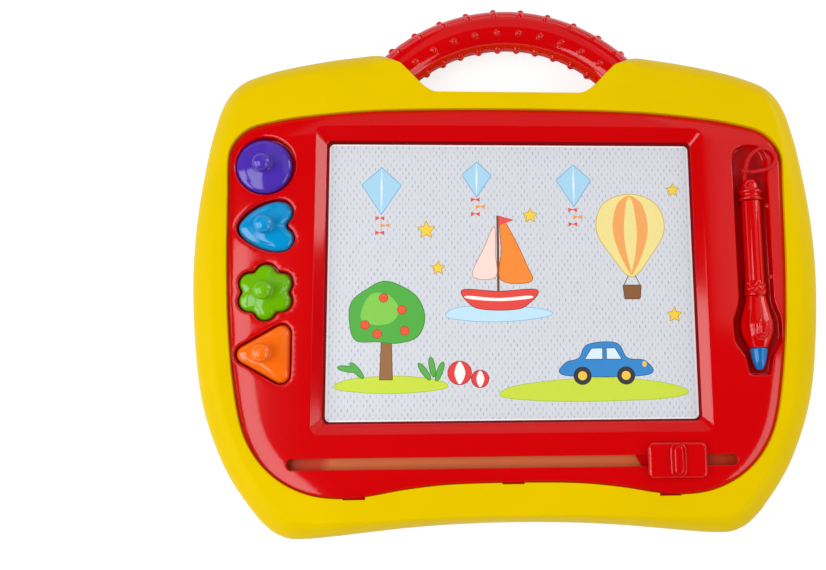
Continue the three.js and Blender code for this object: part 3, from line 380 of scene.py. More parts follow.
class Shell:
    """Points in millimetres and faces, gathered strip by strip and welded where they meet."""

    def __init__(self):
        self.points, self.faces, self.count = [], [], 0

    def add(self, points, faces):
        """Points, and faces that count from the first of them."""
        points = np.asarray(points, float)
        self.faces += [[int(i) + self.count for i in face] for face in faces]
        self.points.append(points)
        self.count += len(points)

    def rings(self, rings, closed=True):
        """Quads between rings of points with equal counts."""
        count = len(rings[0])
        span = count if closed else count - 1
        faces = []
        for r in range(len(rings) - 1):
            for i in range(span):
                a, b = r * count + i, r * count + (i + 1) % count
                faces.append((a, b, b + count, a + count))
        self.add(np.vstack(rings), faces)

    def cap(self, ring, up=True):
        """One flat or nearly flat face over a ring."""
        face = list(range(len(ring)))
        self.add(ring, [face if up else face[::-1]])

    def sheet(self, outer, holes, height, spacing, extra=()):
        """A face inside the outer outline and outside the holes, at the height that a function gives."""
        loops = [outer, *holes]
        low, high = outer.min(0), outer.max(0)
        xs = np.arange(low[0] + spacing / 2, high[0], spacing)
        ys = np.arange(low[1] + spacing / 2, high[1], spacing)
        grid = np.stack(np.meshgrid(xs, ys), -1).reshape(-1, 2)
        grid = np.vstack([grid, *extra])
        kept = inside(grid, outer)
        for hole in holes:
            kept &= ~inside(grid, hole)
        grid = grid[kept]
        near = np.full(len(grid), 1e9)
        for loop in loops:
            near = np.minimum(near, distance_to(grid, loop))
        grid = grid[near > 0.35 * spacing]
        points, edges, start = [], [], 0
        for loop in loops:
            points.append(loop)
            edges += [(start + i, start + (i + 1) % len(loop)) for i in range(len(loop))]
            start += len(loop)
        flat = [Vector(p) for p in np.vstack([*points, grid])]
        made = delaunay_2d_cdt(flat, edges, [], 0, 1e-7, True)
        places = np.array([tuple(v) for v in made[0]])
        faces = np.array(made[2])
        walls = {tuple(sorted(edge)) for edge, origins in zip(made[1], made[4]) if origins}
        kept = []
        for group in joined_faces(faces, walls):
            corners = places[faces[group]]
            ahead, aside = corners[:, 1] - corners[:, 0], corners[:, 2] - corners[:, 0]
            areas = np.abs(ahead[:, 0] * aside[:, 1] - ahead[:, 1] * aside[:, 0])
            middle = corners[np.argmax(areas)].mean(0)[None]
            in_hole = any(inside(middle, hole)[0] for hole in holes)
            if areas.sum() > SLIVER and inside(middle, outer)[0] and not in_hole:
                kept += group
        self.add(level(places, height(places)), faces[kept])

    def mesh(self, name, flip=False):
        """A mesh in metres; a flipped one is the mirror image from below to above."""
        mesh = bpy.data.meshes.new(name)
        points = np.vstack(self.points)
        faces = self.faces
        if flip:
            points = points * [1, 1, -1]
            faces = [face[::-1] for face in faces]
        mesh.from_pydata(metres(points).tolist(), [], faces)
        work = bmesh.new()
        work.from_mesh(mesh)
        bmesh.ops.remove_doubles(work, verts=work.verts, dist=2e-6)
        work.to_mesh(mesh)
        work.free()
        return mesh


def settled(obj):
    """The object's mesh with its modifiers in it, and no modifier left."""
    graph = bpy.context.evaluated_depsgraph_get()
    mesh = bpy.data.meshes.new_from_object(obj.evaluated_get(graph))
    obj.modifiers.clear()
    obj.data = mesh
    return obj


def hidden(shell, name, flip=False):
    """An object with the shell's mesh, without finish or body as yet."""
    obj = bpy.data.objects.new(name, shell.mesh(name, flip))
    bpy.context.collection.objects.link(obj)
    return obj


def carve(obj, tools, operation="DIFFERENCE"):
    """Cuts closed tool shells out of the object, or joins them to it."""
    for tool in tools:
        cutter = hidden(tool, "tool")
        change = obj.modifiers.new("carve", "BOOLEAN")
        change.operation = operation
        change.solver = "MANIFOLD"
        change.object = cutter
        settled(obj)
        bpy.data.objects.remove(cutter)


def piece(
    name, shell, material, body, nodes=(), wall=0.0, flip=False, tools=(), adds=(), sharp=38.0
):
    """A finished piece: its wall's thickness, its cuts, its shading, material, body and CAD nodes."""
    obj = hidden(shell, name, flip)
    if wall:
        thick = obj.modifiers.new("wall", "SOLIDIFY")
        thick.thickness = wall * MM
        thick.offset = -1
        thick.use_even_offset = False
        settled(obj)
    carve(obj, tools)
    carve(obj, adds, "UNION")
    return dress(obj, material, body, nodes, sharp)


def dress(obj, material, body, nodes=(), sharp=38.0):
    """Soft shading between sharp edges, a material, and the CAD body and nodes that it goes with."""
    obj.data.shade_smooth()
    obj.data.set_sharp_from_angle(angle=math.radians(sharp))
    even_light = obj.modifiers.new("even_light", "WEIGHTED_NORMAL")
    even_light.keep_sharp = True
    obj.data.materials.clear()
    for one in material if isinstance(material, (list, tuple)) else [material]:
        obj.data.materials.append(one)
    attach(obj, body)
    if nodes:
        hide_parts(*nodes)
    return obj


def pocket(shell, mouth, height, floor, edge, foot, steps=4):
    """Wall of a pocket, from its soft edge on the face to its floor.

    Returns the pocket's outlines on the face and on the floor.
    """
    on_face = offset(mouth, edge)
    top = height(on_face)
    rings = [level(on_face, top)]
    for angle in np.linspace(0, math.pi / 2, steps + 1)[1:]:
        ring = offset(mouth, edge * (1 - math.sin(angle)))
        rings.append(level(ring, top - edge * (1 - math.cos(angle))))
    for angle in np.linspace(0, math.pi / 2, steps + 1 if foot else 1):
        ring = offset(mouth, -foot * (1 - math.cos(angle)))
        rings.append(level(ring, floor + foot * (1 - math.sin(angle))))
    shell.rings(rings)
    return on_face, rings[-1][:, :2]


def solid(rings, shell=None):
    """A closed body through rings of points, with a face at either end."""
    shell = shell or Shell()
    shell.rings(rings)
    shell.cap(rings[0], up=False)
    shell.cap(rings[-1])
    return shell


def slab(outline, low, high, edge=0.0, shell=None):
    """A closed plate with its upper edge rounded."""
    rings = [level(outline, low)]
    for angle in np.linspace(0, math.pi / 2, 5 if edge else 1):
        ring = offset(outline, -edge * (1 - math.cos(angle)))
        rings.append(level(ring, high - edge * (1 - math.sin(angle))))
    return solid(rings, shell)


def turned(profile, count, ripple=None):
    """A closed body turned about the pen's axis from rows of radius and place along Y."""
    angles = np.arange(count) * 2 * math.pi / count
    rings = []
    for radius, along in profile:
        reach = radius + (0 if ripple is None else ripple(angles, along, radius))
        x, z = reach * np.sin(angles), reach * np.cos(angles)
        rings.append(np.stack([x, np.full(count, along), z], 1) + [PEN_X, PEN_TIP_Y, PEN_HEIGHT])
    return solid(rings)


# Materials


def linear(code):
    """A colour written as an sRGB hex value, as linear light."""
    parts = [int(code[i : i + 2], 16) / 255 for i in (1, 3, 5)]
    return [p / 12.92 if p <= 0.04045 else ((p + 0.055) / 1.055) ** 2.4 for p in parts]


# Kinds of node that most materials have
MATH, RANGE = "ShaderNodeMath", "ShaderNodeMapRange"
MIX, MIX_SHADER = "ShaderNodeMix", "ShaderNodeMixShader"
NOISE, BUMP, AXES = "ShaderNodeTexNoise", "ShaderNodeBump", "ShaderNodeSeparateXYZ"


def wire(tree, node, sockets):
    """Sets a node's sockets to values, or links them to sockets or to the first outputs of nodes."""
    for key, value in dict(sockets).items():
        if isinstance(value, bpy.types.Node):
            value = value.outputs[0]
        if isinstance(value, bpy.types.NodeSocket):
            tree.links.new(value, node.inputs[key])
        else:
            node.inputs[key].default_value = value


def add(tree, kind, sockets=(), **settings):
    """A node with its settings, and with its sockets wired."""
    node = tree.nodes.new(kind)
    for key, value in settings.items():
        setattr(node, key, value)
    wire(tree, node, sockets)
    return node


def toned(colour, share, more=0.0):
    """A colour times a share, and a little more where that is given, for a colour socket."""
    return [*(min(1, c * share + more) for c in colour), 1]


def surface(name, **sockets):
    """A material with one Principled shader, whose plain numbers are set on its own sockets."""
    material = bpy.data.materials.new(name)
    material.use_nodes = True
    tree = material.node_tree
    tree.nodes.clear()
    named = {key.replace("_", " "): value for key, value in sockets.items()}
    shader = add(tree, "ShaderNodeBsdfPrincipled", named)
    add(tree, "ShaderNodeOutputMaterial", {"Surface": shader})
    place = add(tree, "ShaderNodeTexCoord").outputs["Object"]
    return material, tree, shader, place


def per_mm(size):
    """Texture scale for a pattern of that size in millimetres."""
    return 1 / (size * MM)


def moulded(name, colour, roughness, wave, grain, ior=1.5, shine=0.5, tint=(1, 1, 1)):
    """Injection-moulded plastic: an even colour with faint flow marks, sink waves and a fine mould grain."""
    material, tree, shader, place = surface(
        name, IOR=ior, Specular_IOR_Level=shine, Specular_Tint=(*tint, 1)
    )
    flow = add(tree, NOISE, {"Vector": place, "Scale": per_mm(55), "Detail": 2.0})
    shades = {0: flow, 6: toned(colour, 0.93), 7: toned(colour, 1.05)}
    shade = add(tree, MIX, shades, data_type="RGBA").outputs[2]
    speck = add(tree, NOISE, {"Vector": place, "Scale": per_mm(1.1), "Detail": 3.0})
    gloss = add(tree, RANGE, {"Value": speck, "To Min": roughness * 0.8, "To Max": roughness * 1.25})
    waves = add(tree, NOISE, {"Vector": place, "Scale": per_mm(34), "Detail": 1.0})
    broad = add(tree, BUMP, {"Height": waves, "Distance": wave * MM})
    fine = add(tree, BUMP, {"Height": speck, "Distance": grain * MM, "Normal": broad})
    wire(tree, shader, {"Base Color": shade, "Roughness": gloss, "Normal": fine})
    return material


def slot_shade_strip(name, shaded_ends, shaded_middle, run):
    """Satin plastic strip in colours of painted shade: paler along all but a little of its run, darker at
    either end.
    """
    material, tree, shader, place = surface(name, Roughness=0.4, Specular_IOR_Level=0.3)
    middle = float(SHIFT[0]) + WINDOW_X * MM
    across = add(tree, MATH, {0: add(tree, AXES, {0: place}), 1: middle}, operation="SUBTRACT")
    share = add(tree, MATH, {0: across, 1: run * MM}, operation="DIVIDE")
    # Painted shade: both ends of the run are darker, the right one standing for the eraser knob's shadow
    start = add(tree, RANGE, {"Value": share, "From Min": -0.43, "From Max": -0.405})
    end = add(tree, RANGE, {"Value": share, "From Min": 0.37, "From Max": 0.34})
    between = add(tree, MATH, {0: start, 1: end}, operation="MULTIPLY")
    speck = add(tree, NOISE, {"Vector": place, "Scale": per_mm(14), "Detail": 3.0})
    speck = add(tree, MATH, {0: speck, 1: 0.2, 2: 0.9}, operation="MULTIPLY_ADD")
    paler_share = add(tree, MATH, {0: between, 1: speck}, operation="MULTIPLY")
    shade = add(tree, MIX, {0: paler_share, 6: (*shaded_ends, 1), 7: (*shaded_middle, 1)}, data_type="RGBA").outputs[2]
    wire(tree, shader, {"Base Color": shade})
    return material


def cell_lattice(tree, u, v, shift, pitch, row):
    """One of the honeycomb's two lattices: how far a point is from the middle of its cell.

    Gives the distance in millimetres towards the nearest wall of all, towards the upright walls and
    towards the slanting ones.
    """
    offsets = []
    for place, spacing in ((u, pitch), (v, 2 * row)):
        moved = add(tree, MATH, {0: place, 1: shift}, operation="ADD")
        share = add(tree, MATH, {0: moved}, operation="FRACT")
        share = add(tree, MATH, {0: share, 1: 0.5}, operation="SUBTRACT")
        share = add(tree, MATH, {0: share}, operation="ABSOLUTE")
        offsets.append(add(tree, MATH, {0: share, 1: spacing}, operation="MULTIPLY"))
    upright = offsets[0]
    half = add(tree, MATH, {0: upright, 1: 0.5}, operation="MULTIPLY")
    slanting = add(tree, MATH, {0: offsets[1], 1: 0.87, 2: half}, operation="MULTIPLY_ADD")
    nearest = add(tree, MATH, {0: upright, 1: slanting}, operation="MAXIMUM")
    return nearest, upright, slanting


def cell_film(name, colour, mark, margin, pitch, row):
    """Clear film over a honeycomb of cells.

    Upright cell walls show as short staggered marks, darker in some patches than in others, and the
    slanting ones are fainter. The film's rim is plain white.
    """
    material, tree, shader, place = surface(name, Roughness=0.34, IOR=1.52)
    axes = add(tree, AXES, {0: place})
    x, y = axes.outputs[0], axes.outputs[1]
    # The rows of cells waver a little
    drift = add(tree, NOISE, {"Vector": place, "Scale": per_mm(9), "Detail": 1.0})
    drift = add(tree, MATH, {0: drift, 1: 0.5}, operation="SUBTRACT")
    drift = add(tree, MATH, {0: drift, 1: 0.9 * MM, 2: x}, operation="MULTIPLY_ADD")
    u = add(tree, MATH, {0: drift, 1: pitch * MM}, operation="DIVIDE")
    v = add(tree, MATH, {0: y, 1: 2 * row * MM}, operation="DIVIDE")
    first = cell_lattice(tree, u, v, 0.0, pitch, row)
    second = cell_lattice(tree, u, v, 0.5, pitch, row)
    nearer = add(tree, MATH, {0: first[0], 1: second[0]}, operation="LESS_THAN")
    side = add(tree, MIX, {0: nearer, 2: second[1], 3: first[1]})
    slant = add(tree, MIX, {0: nearer, 2: second[2], 3: first[2]})
    wall = pitch / 2
    upright = add(tree, RANGE, {"Value": side, "From Min": wall - 0.5, "From Max": wall - 0.12})
    sloping = add(tree, RANGE, {"Value": slant, "From Min": wall - 0.5, "From Max": wall + 0.1})
    patches = add(tree, NOISE, {"Vector": place, "Scale": per_mm(6), "Detail": 2.0})
    patches = {"Value": patches, "From Min": 0.35, "From Max": 0.65, "To Min": 0.25}
    dark = add(tree, MATH, {0: upright, 1: add(tree, RANGE, patches)}, operation="MULTIPLY")
    faint = add(tree, MATH, {0: sloping, 1: 0.3}, operation="MULTIPLY")
    amount = add(tree, MATH, {0: dark, 1: faint}, operation="MAXIMUM")
    field = add(tree, MIX, {0: amount, 6: (*colour, 1), 7: (*mark, 1)}, data_type="RGBA").outputs[2]
    middle = metres([WINDOW_X, 0, 0])
    past = []
    for i, axis in enumerate((x, y)):
        away = add(tree, MATH, {0: axis, 1: float(middle[i])}, operation="SUBTRACT")
        away = add(tree, MATH, {0: away}, operation="ABSOLUTE")
        reach = (WINDOW[i] / 2 - margin) * MM
        past.append(add(tree, MATH, {0: away, 1: reach}, operation="GREATER_THAN"))
    rim = add(tree, MATH, {0: past[0], 1: past[1]}, operation="MAXIMUM")
    shades = {0: rim, 6: field, 7: (0.93, 0.93, 0.95, 1)}
    shade = add(tree, MIX, shades, data_type="RGBA").outputs[2]
    walls = {"Height": amount, "Distance": 0.04 * MM, "Strength": 0.5}
    wire(tree, shader, {"Base Color": shade, "Normal": add(tree, BUMP, walls, invert=True)})
    return material


def ink(name, colour):
    """Screen-printed ink: opaque and slightly matt, with a faint halftone grain."""
    material, tree, shader, place = surface(name, Roughness=0.45, IOR=1.48)
    dots = add(tree, "ShaderNodeTexVoronoi", {"Vector": place, "Scale": per_mm(0.9)})
    shades = {0: add(tree, RANGE, {"Value": dots}), 6: toned(colour, 0.96), 7: toned(colour, 1.05)}
    wire(tree, shader, {"Base Color": add(tree, MIX, shades, data_type="RGBA").outputs[2]})
    return material


def braided(name, colour):
    """Braided polyester cord: matt fibres with a soft sheen, and finer threads inside each strand."""
    material, tree, shader, place = surface(name, Roughness=0.6, Specular_IOR_Level=0.2, Sheen_Weight=0.03)
    threads = add(tree, "ShaderNodeTexWave", {"Vector": place, "Scale": per_mm(0.5), "Distortion": 3.0})
    threads = threads.outputs["Fac"]
    # Painted shade and light: by the mesh's pointiness, the creases between the strands are painted darker
    # and the strands' crowns paler
    crease_shade = add(tree, "ShaderNodeNewGeometry").outputs["Pointiness"]
    crease_shade = add(tree, RANGE, {"Value": crease_shade, "From Min": 0.45, "From Max": 0.52})
    crease_shade = add(tree, MATH, {0: crease_shade, 1: 0.8}, operation="MULTIPLY")
    share = add(tree, MATH, {0: threads, 1: 0.2, 2: crease_shade}, operation="MULTIPLY_ADD")
    shades = {0: share, 6: toned(colour, 0.55), 7: toned(colour, 1.15, 0.015)}
    shade = add(tree, MIX, shades, data_type="RGBA").outputs[2]
    bump = add(tree, BUMP, {"Height": threads, "Distance": 0.05 * MM})
    wire(tree, shader, {"Base Color": shade, "Normal": bump})
    return material


def zinc_steel(name):
    """Zinc-plated pressed steel: bright grey with cloudy plating."""
    material, tree, shader, place = surface(name, Metallic=1.0)
    cloud = add(tree, NOISE, {"Vector": place, "Scale": per_mm(2.5), "Detail": 4.0})
    shades = {0: cloud, 6: (*linear("#a9adb0"), 1), 7: (*linear("#d4d8da"), 1)}
    shade = add(tree, MIX, shades, data_type="RGBA").outputs[2]
    rough = add(tree, RANGE, {"Value": cloud, "To Min": 0.22, "To Max": 0.42})
    wire(tree, shader, {"Base Color": shade, "Roughness": rough})
    return material


def bonded_magnet(name):
    """Rubber-bonded ferrite: dark grey and matt, with a fine speckle."""
    material, tree, shader, place = surface(name, Roughness=0.7)
    speck = add(tree, NOISE, {"Vector": place, "Scale": per_mm(0.4), "Detail": 4.0})
    shades = {0: speck, 6: (*linear("#2a2b2e"), 1), 7: (*linear("#4a4b4f"), 1)}
    shade = add(tree, MIX, shades, data_type="RGBA").outputs[2]
    bump = add(tree, BUMP, {"Height": speck, "Distance": 0.05 * MM})
    wire(tree, shader, {"Base Color": shade, "Normal": bump})
    return material


# Sizes and colours that a user would change


def length(name, size, text):
    """A size property, given in millimetres."""
    return bpy.props.FloatProperty(
        name=name, description=text, default=size * MM, min=0, unit="LENGTH", precision=5
    )


def colour(name, code, text):
    """A colour property, given as a hex value."""
    return bpy.props.FloatVectorProperty(
        name=name, description=text, default=linear(code), size=3, min=0, max=1, subtype="COLOR"
    )


class DrawingBoardSizes(bpy.types.PropertyGroup):
    """Sizes of the fine shapes that the CAD source leaves plain."""

    seam_edge: length("Frame edge", 0.5, "Round of the frame's edge along the panel")
    back_round: length("Back round", 3.6, "Round of the case's edge at its flat back")
    shoulder_rise: length("Shoulder rise", 1.2, "Height of the frame's soft rise over each handle root")
    shoulder_slope: length("Shoulder slope", 5.0, "Width over which the shoulder rises")
    panel_roll: length("Panel roll", 14.0, "Width over which the panel's face rolls down to its rim")
    pocket_edge: length("Pocket edge", 1.5, "Round of the stamp pockets' edge")
    well_edge: length("Well edge", 0.8, "Round of the pen well's edge")
    panel_wall: length("Panel wall", 1.8, "Thickness of the panel's moulding")
    bump_reach: length("Grip bump radius", 2.2, "Radius of one bump on the handle")
    bump_height: length("Grip bump height", 1.6, "Height of one bump on the handle")
    cell_pitch: length("Cell pitch", 4.1, "Distance between the screen's cells along a row")
    cell_row: length("Cell row pitch", 3.0, "Distance between the screen's rows of cells")
    film_margin: length("Film margin", 1.1, "Width of the plain rim of the screen inside the window")
    facet_depth: length("Pen facet depth", 1.5, "Depth of the finger facets in the pen's bulb")
    ridge_height: length("Pen ridge height", 0.45, "Height of the raised grip lines on the pen")
    cord_diameter: length("Cord diameter", 2.9, "Diameter of the pen's cord")
    cord_lay: length("Cord lay", 9.0, "Length along the cord in which a strand goes round once")


class DrawingBoardColours(bpy.types.PropertyGroup):
    """Colours of the moulded, printed and woven parts."""

    case: colour("Case", "#E1BF00", "Yellow polypropylene of the case")
    panel: colour("Panel", "#CF0004", "Red ABS of the panel, handle, knob and pen")
    stamp_round: colour("Round stamp", "#4D30B0", "Purple polystyrene of the round stamp")
    stamp_heart: colour("Heart stamp", "#0092D0", "Blue polystyrene of the heart stamp")
    stamp_flower: colour("Flower stamp", "#6CB600", "Green polystyrene of the flower stamp")
    stamp_triangle: colour("Triangle stamp", "#FF700C", "Orange polystyrene of the triangle stamp")
    pen_tip: colour("Pen tip", "#0570BC", "Blue polystyrene of the pen's tip")
    cord: colour("Cord", "#EE0812", "Red polyester of the pen's cord")
    screen: colour("Screen", "#D5D8DE", "Pale field of the screen's cells")
    cell_mark: colour("Cell mark", "#9A9FB0", "Darker walls between the screen's cells")


def size(key):
    """A user's size, in millimetres."""
    return getattr(bpy.context.scene.drawing_board_sizes, key) / MM


def paint(key):
    """A user's colour, in linear light."""
    return list(getattr(bpy.context.scene.drawing_board_colours, key))


RED, YELLOW = "moulded_abs_red", "moulded_polypropylene_yellow"


def finish(key):
    """The material of that name, made the first time it is asked for."""
    if key in bpy.data.materials:
        return bpy.data.materials[key]
    if key == YELLOW:
        # Injection-moulded polypropylene: waxy gloss, soft broad highlights that take on its own colour
        tint = (1, 0.8, 0.02)
        return moulded(key, paint("case"), roughness=0.3, wave=0.05, grain=0.012, shine=0.14, tint=tint)
    if key == "moulded_polypropylene_amber":
        # Satin polypropylene strip on which the eraser's plate slides; its amber is painted shade for the
        # yellow track seen in shade through the slot, with painted red light from the slot's walls, paler
        # along most of its run and darker at its ends
        return slot_shade_strip(key, linear("#D33904"), linear("#E37740"), SLOT[0])
    if key == RED:
        # Injection-moulded ABS from a polished tool: sharp reflections with slightly wavy edges
        return moulded(key, paint("panel"), roughness=0.09, wave=0.04, grain=0.002, ior=1.53)
    if key == "textured_abs_red":
        # The same ABS from a spark-textured face of the tool, dull, in the floor of the pen well; its colour
        # is darkened to paint the shade down in the well
        well_shade = [c * 0.72 for c in paint("panel")]
        return moulded(key, well_shade, roughness=0.42, wave=0.02, grain=0.02, ior=1.53, shine=0.12)
    if key == "moulded_tpe_maroon":
        # Painted shade: a thin dark maroon sheet along the window's lip, darker and duller than the panel,
        # stands for the shadow there
        return moulded(key, linear("#780409"), roughness=0.5, wave=0.02, grain=0.01, shine=0.06)
    if key == "moulded_abs_white":
        # Plain moulded ABS of the hidden parts
        return moulded(key, linear("#EFEFEA"), roughness=0.45, wave=0.03, grain=0.02)
    if key.startswith("moulded_polystyrene_"):
        # High-gloss moulded polystyrene: hard and bright, with crisp small highlights
        own = paint(key.removeprefix("moulded_polystyrene_"))
        return moulded(key, own, roughness=0.1, wave=0.03, grain=0.002, ior=1.57)
    if key == "pet_film_over_cells":
        # Polyester film over a honeycomb of milky cells: satin, with the cell walls showing through
        margin, pitch, row = size("film_margin"), size("cell_pitch"), size("cell_row")
        return cell_film(key, paint("screen"), paint("cell_mark"), margin, pitch, row)
    if key == "braided_polyester_red":
        return braided(key, paint("cord"))
    if key == "zinc_plated_steel":
        return zinc_steel(key)
    if key == "bonded_ferrite":
        return bonded_magnet(key)
    raise ValueError(f"no material is named {key}")


# Shapes shared by pieces

SCREW_SPOTS = ((149.74, 127.78), (197.41, 41.89), (192.44, -58.72), (143.79, -148.87), (82.73, 139.52))
SCREW_PLACES = [(side * x, y) for x, y in SCREW_SPOTS for side in (1, -1)]


def panel_edge(x):
    """The panel's lower edge at a place across it."""
    outline = panel_outline(1.0)
    lower = outline[outline[:, 1] < PANEL_MIDDLE - PANEL_HALF[1] / 2]
    lower = lower[np.argsort(lower[:, 0])]
    return float(np.interp(x, lower[:, 0], lower[:, 1]))


def handle_frame(angle):
    """Middle of the tube at an angle of the arc, and the way outwards."""
    out = np.array([math.cos(math.radians(angle)), math.sin(math.radians(angle)), 0.0])
    return np.array([0.0, HANDLE_Y, TUBE_HEIGHT]) + HANDLE_RADIUS * out, out


def handle_room():
    """Closed tubes with room round the handle's roots, for cutting the mouths in the case."""
    turns = np.radians(np.arange(0, 360, 7.5))
    right = np.arange(TUBE_ROOT - 0.3, 58, 1.0)
    left = np.arange(122, 180 - TUBE_ROOT + 1.2, 1.0)
    tools = []
    for angles in (right, left):
        rings = []
        for angle in angles[::-1]:
            middle, out = handle_frame(angle)
            across = np.outer(np.cos(turns) * (TUBE[0] + FIT), out)
            rings.append(middle + across + np.outer(np.sin(turns) * (TUBE[1] + FIT), [0, 0, 1]))
        tools.append(solid(rings))
    return tools


# The heart lies on its side with its point to the left: shares of its half length and half height,
# over the top from the point to the notch
HEART_SHARES = [[-1, 0], [-0.965, 0.16], [-0.89, 0.3], [-0.73, 0.49], [-0.48, 0.69], [-0.16, 0.87]]
HEART_SHARES += [[0.16, 0.97], [0.46, 1], [0.77, 0.91], [0.96, 0.66], [1, 0.42], [0.92, 0.18], [0.78, 0]]


def stamp_outline(kind):
    """A stamp pocket's outline round its own middle, as rows of places at even angles."""
    count = 144
    angles = np.arange(count) * 2 * math.pi / count
    if kind == "round":
        return circle(ROUND_POCKET, count)
    if kind == "flower":
        half_petal = math.pi / 6
        away = np.abs((angles + half_petal) % (2 * half_petal) - half_petal)
        bulge = np.sqrt(PETAL_RADIUS**2 - (PETAL_REACH * np.sin(away)) ** 2)
        reach = PETAL_REACH * np.cos(away) + bulge
        reach = (np.roll(reach, 1) + 2 * reach + np.roll(reach, -1)) / 4
        angles = angles + half_petal
        return np.stack([reach * np.cos(angles), reach * np.sin(angles)], 1)
    if kind == "heart":
        half = np.array(HEART_SHARES) * HEART_HALF
        whole = np.vstack([half, half[1:-1][::-1] * [1, -1]])[::-1]
        rough = spline(whole, 12, closed=True) @ rotation(HEART_TURN)
    else:
        reach = TRIANGLE_SIDE / math.sqrt(3) - 2 * TRIANGLE_CORNER
        corners = []
        for turn in (60, 180, 300):
            centre = reach * np.array([math.cos(math.radians(turn)), math.sin(math.radians(turn))])
            arc = np.radians(turn - 60 + np.linspace(0, 120, 13))
            corners.append(centre + TRIANGLE_CORNER * np.stack([np.cos(arc), np.sin(arc)], 1))
        rough = np.vstack(corners)
        rough[:, 0] -= (rough[:, 0].min() + rough[:, 0].max()) / 2
    dense = even(rough, 0.2)
    turns = np.unwrap(np.arctan2(dense[:, 1], dense[:, 0])) % (2 * math.pi)
    order = np.argsort(turns)
    turns, dense = turns[order], dense[order]
    reach = np.interp(angles, turns, np.linalg.norm(dense, axis=1), period=2 * math.pi)
    return np.stack([reach * np.cos(angles), reach * np.sin(angles)], 1)


# Middle of each stamp's pocket, and how far the stamp lies to one side in it
STAMPS = {
    "round": (-162.4, 76.4, -1.44),
    "heart": (-161.5, 34.92, 0.0),
    "flower": (-160.09, -8.66, -0.6),
    "triangle": (-160.78, -49.3, 0.0),
}


def well_outline():
    """The pen well: straight sides, a round head, a swell at the bulb and a small foot under the tip."""
    rows = [
        (4.7, 157.7),
        (7.2, 156.2),
        (9.4, 146.0),
        (12.2, 141.0),
        (15.6, 135.5),
        (16.4, 127.0),
        (16.0, 119.0),
        (13.6, 112.5),
        (12.1, 106.0),
        (12.0, 96.0),
        (12.0, 60.0),
        (12.0, 24.0),
        (12.0, 12.0),
        (10.8, 5.6),
        (7.2, 1.4),
    ]
    right = np.array([[half, WELL_TOP - down] for half, down in rows])
    head = np.array([[0.0, WELL_TOP]])
    foot = np.array([[0.0, WELL_TOP - WELL_LENGTH]])
    ring = np.vstack([foot, right, head, right[::-1] * [-1, 1]])
    return even(spline(ring, 10, closed=True), 1.0) + [WELL_X, 0]


# Pen profile: rows of radius and place along the pen from its tip
BARREL_RADIUS = 6.5
TIP_ROWS = [(0.5, 0.0), (1.6, 0.25), (2.6, 1.3), (3.6, 3.2), (4.6, 6.2), (5.35, 9.8), (5.75, 12.6)]
TIP_ROWS += [(5.9, 13.8), (5.6, 14.2)]
BULB_ROWS = [(5.5, 14.5), (6.2, 14.7), (7.3, 16.6), (8.8, 19.6), (10.1, 22.8), (10.9, 26.4), (11.1, 29.8)]
BULB_ROWS += [(10.7, 33.4), (9.7, 37.4), (8.6, 41.0), (7.6, 44.6), (7.0, 47.4), (6.8, 49.1)]
CAP_RINGS = [(6.4, 115.1), (7.5, 115.4), (8.0, 116.1), (8.0, 116.7), (7.5, 117.4), (6.5, 117.9), (6.2, 118.8)]
CAP_RINGS += [(6.5, 119.8), (7.5, 120.3), (8.0, 121.0), (8.0, 121.6), (7.5, 122.4), (6.3, 123.1)]
CAP_DOME = [(6.0, 123.9), (5.85, 125.4), (5.3, 127.6), (4.2, 129.6), (2.6, 130.9)]
CAP_DOME += [(1.0, 131.35), (0.3, 131.4)]


def pen_groove(points):
    """Height of a groove that the pen lies in with a little room."""
    shaft = [[7.8, 49.4], [7.5, 59.0], [BARREL_RADIUS, 61.0], [BARREL_RADIUS, 115.0]]
    tip, bulb, cap, dome = (spline(rows, 4) for rows in (TIP_ROWS, BULB_ROWS, CAP_RINGS, CAP_DOME))
    rows = np.vstack([tip, bulb, shaft, cap, dome])
    radius = np.interp(points[:, 1] - PEN_TIP_Y, rows[:, 1], rows[:, 0], left=0, right=0) + PEN_ROOM
    across = points[:, 0] - PEN_X
    groove = PEN_HEIGHT - np.sqrt(np.maximum(0, radius**2 - across**2))
    return np.where(np.abs(across) < radius, groove, PANEL_FACE)


# The cord's middle, from the tail cap's hole round its loop to the knot
CORD_ROUTE = [
    (161.8, 63.4, 21.8),
    (161.8, 69.0, 21.8),
    (161.8, 72.4, 23.0),
    (161.9, 76.2, 25.3),
    (162.6, 80.4, 27.2),
    (164.8, 84.2, 28.3),
    (168.4, 87.4, 28.5),
    (172.6, 89.2, 28.1),
    (177.0, 89.0, 27.5),
    (180.7, 86.8, 27.2),
    (182.3, 83.0, 27.1),
    (181.2, 78.9, 27.2),
    (177.7, 75.6, 27.4),
    (173.2, 74.1, 26.8),
    (168.9, 73.6, 25.5),
    (166.4, 73.4, 24.4),
    (164.7, 73.6, 24.1),
]


def along(path):
    """Steady sideways directions along a path, with no sudden turn between neighbours."""
    ways = np.gradient(path, axis=0)
    ways /= np.linalg.norm(ways, axis=1)[:, None]
    side = np.cross(ways[0], [0, 0, 1.0])
    sides = []
    for way in ways:
        side = side - way * (side @ way)
        side /= np.linalg.norm(side)
        sides.append(side)
    sides = np.array(sides)
    return sides, np.cross(ways, sides)


# Operators: one for each piece or group of like pieces


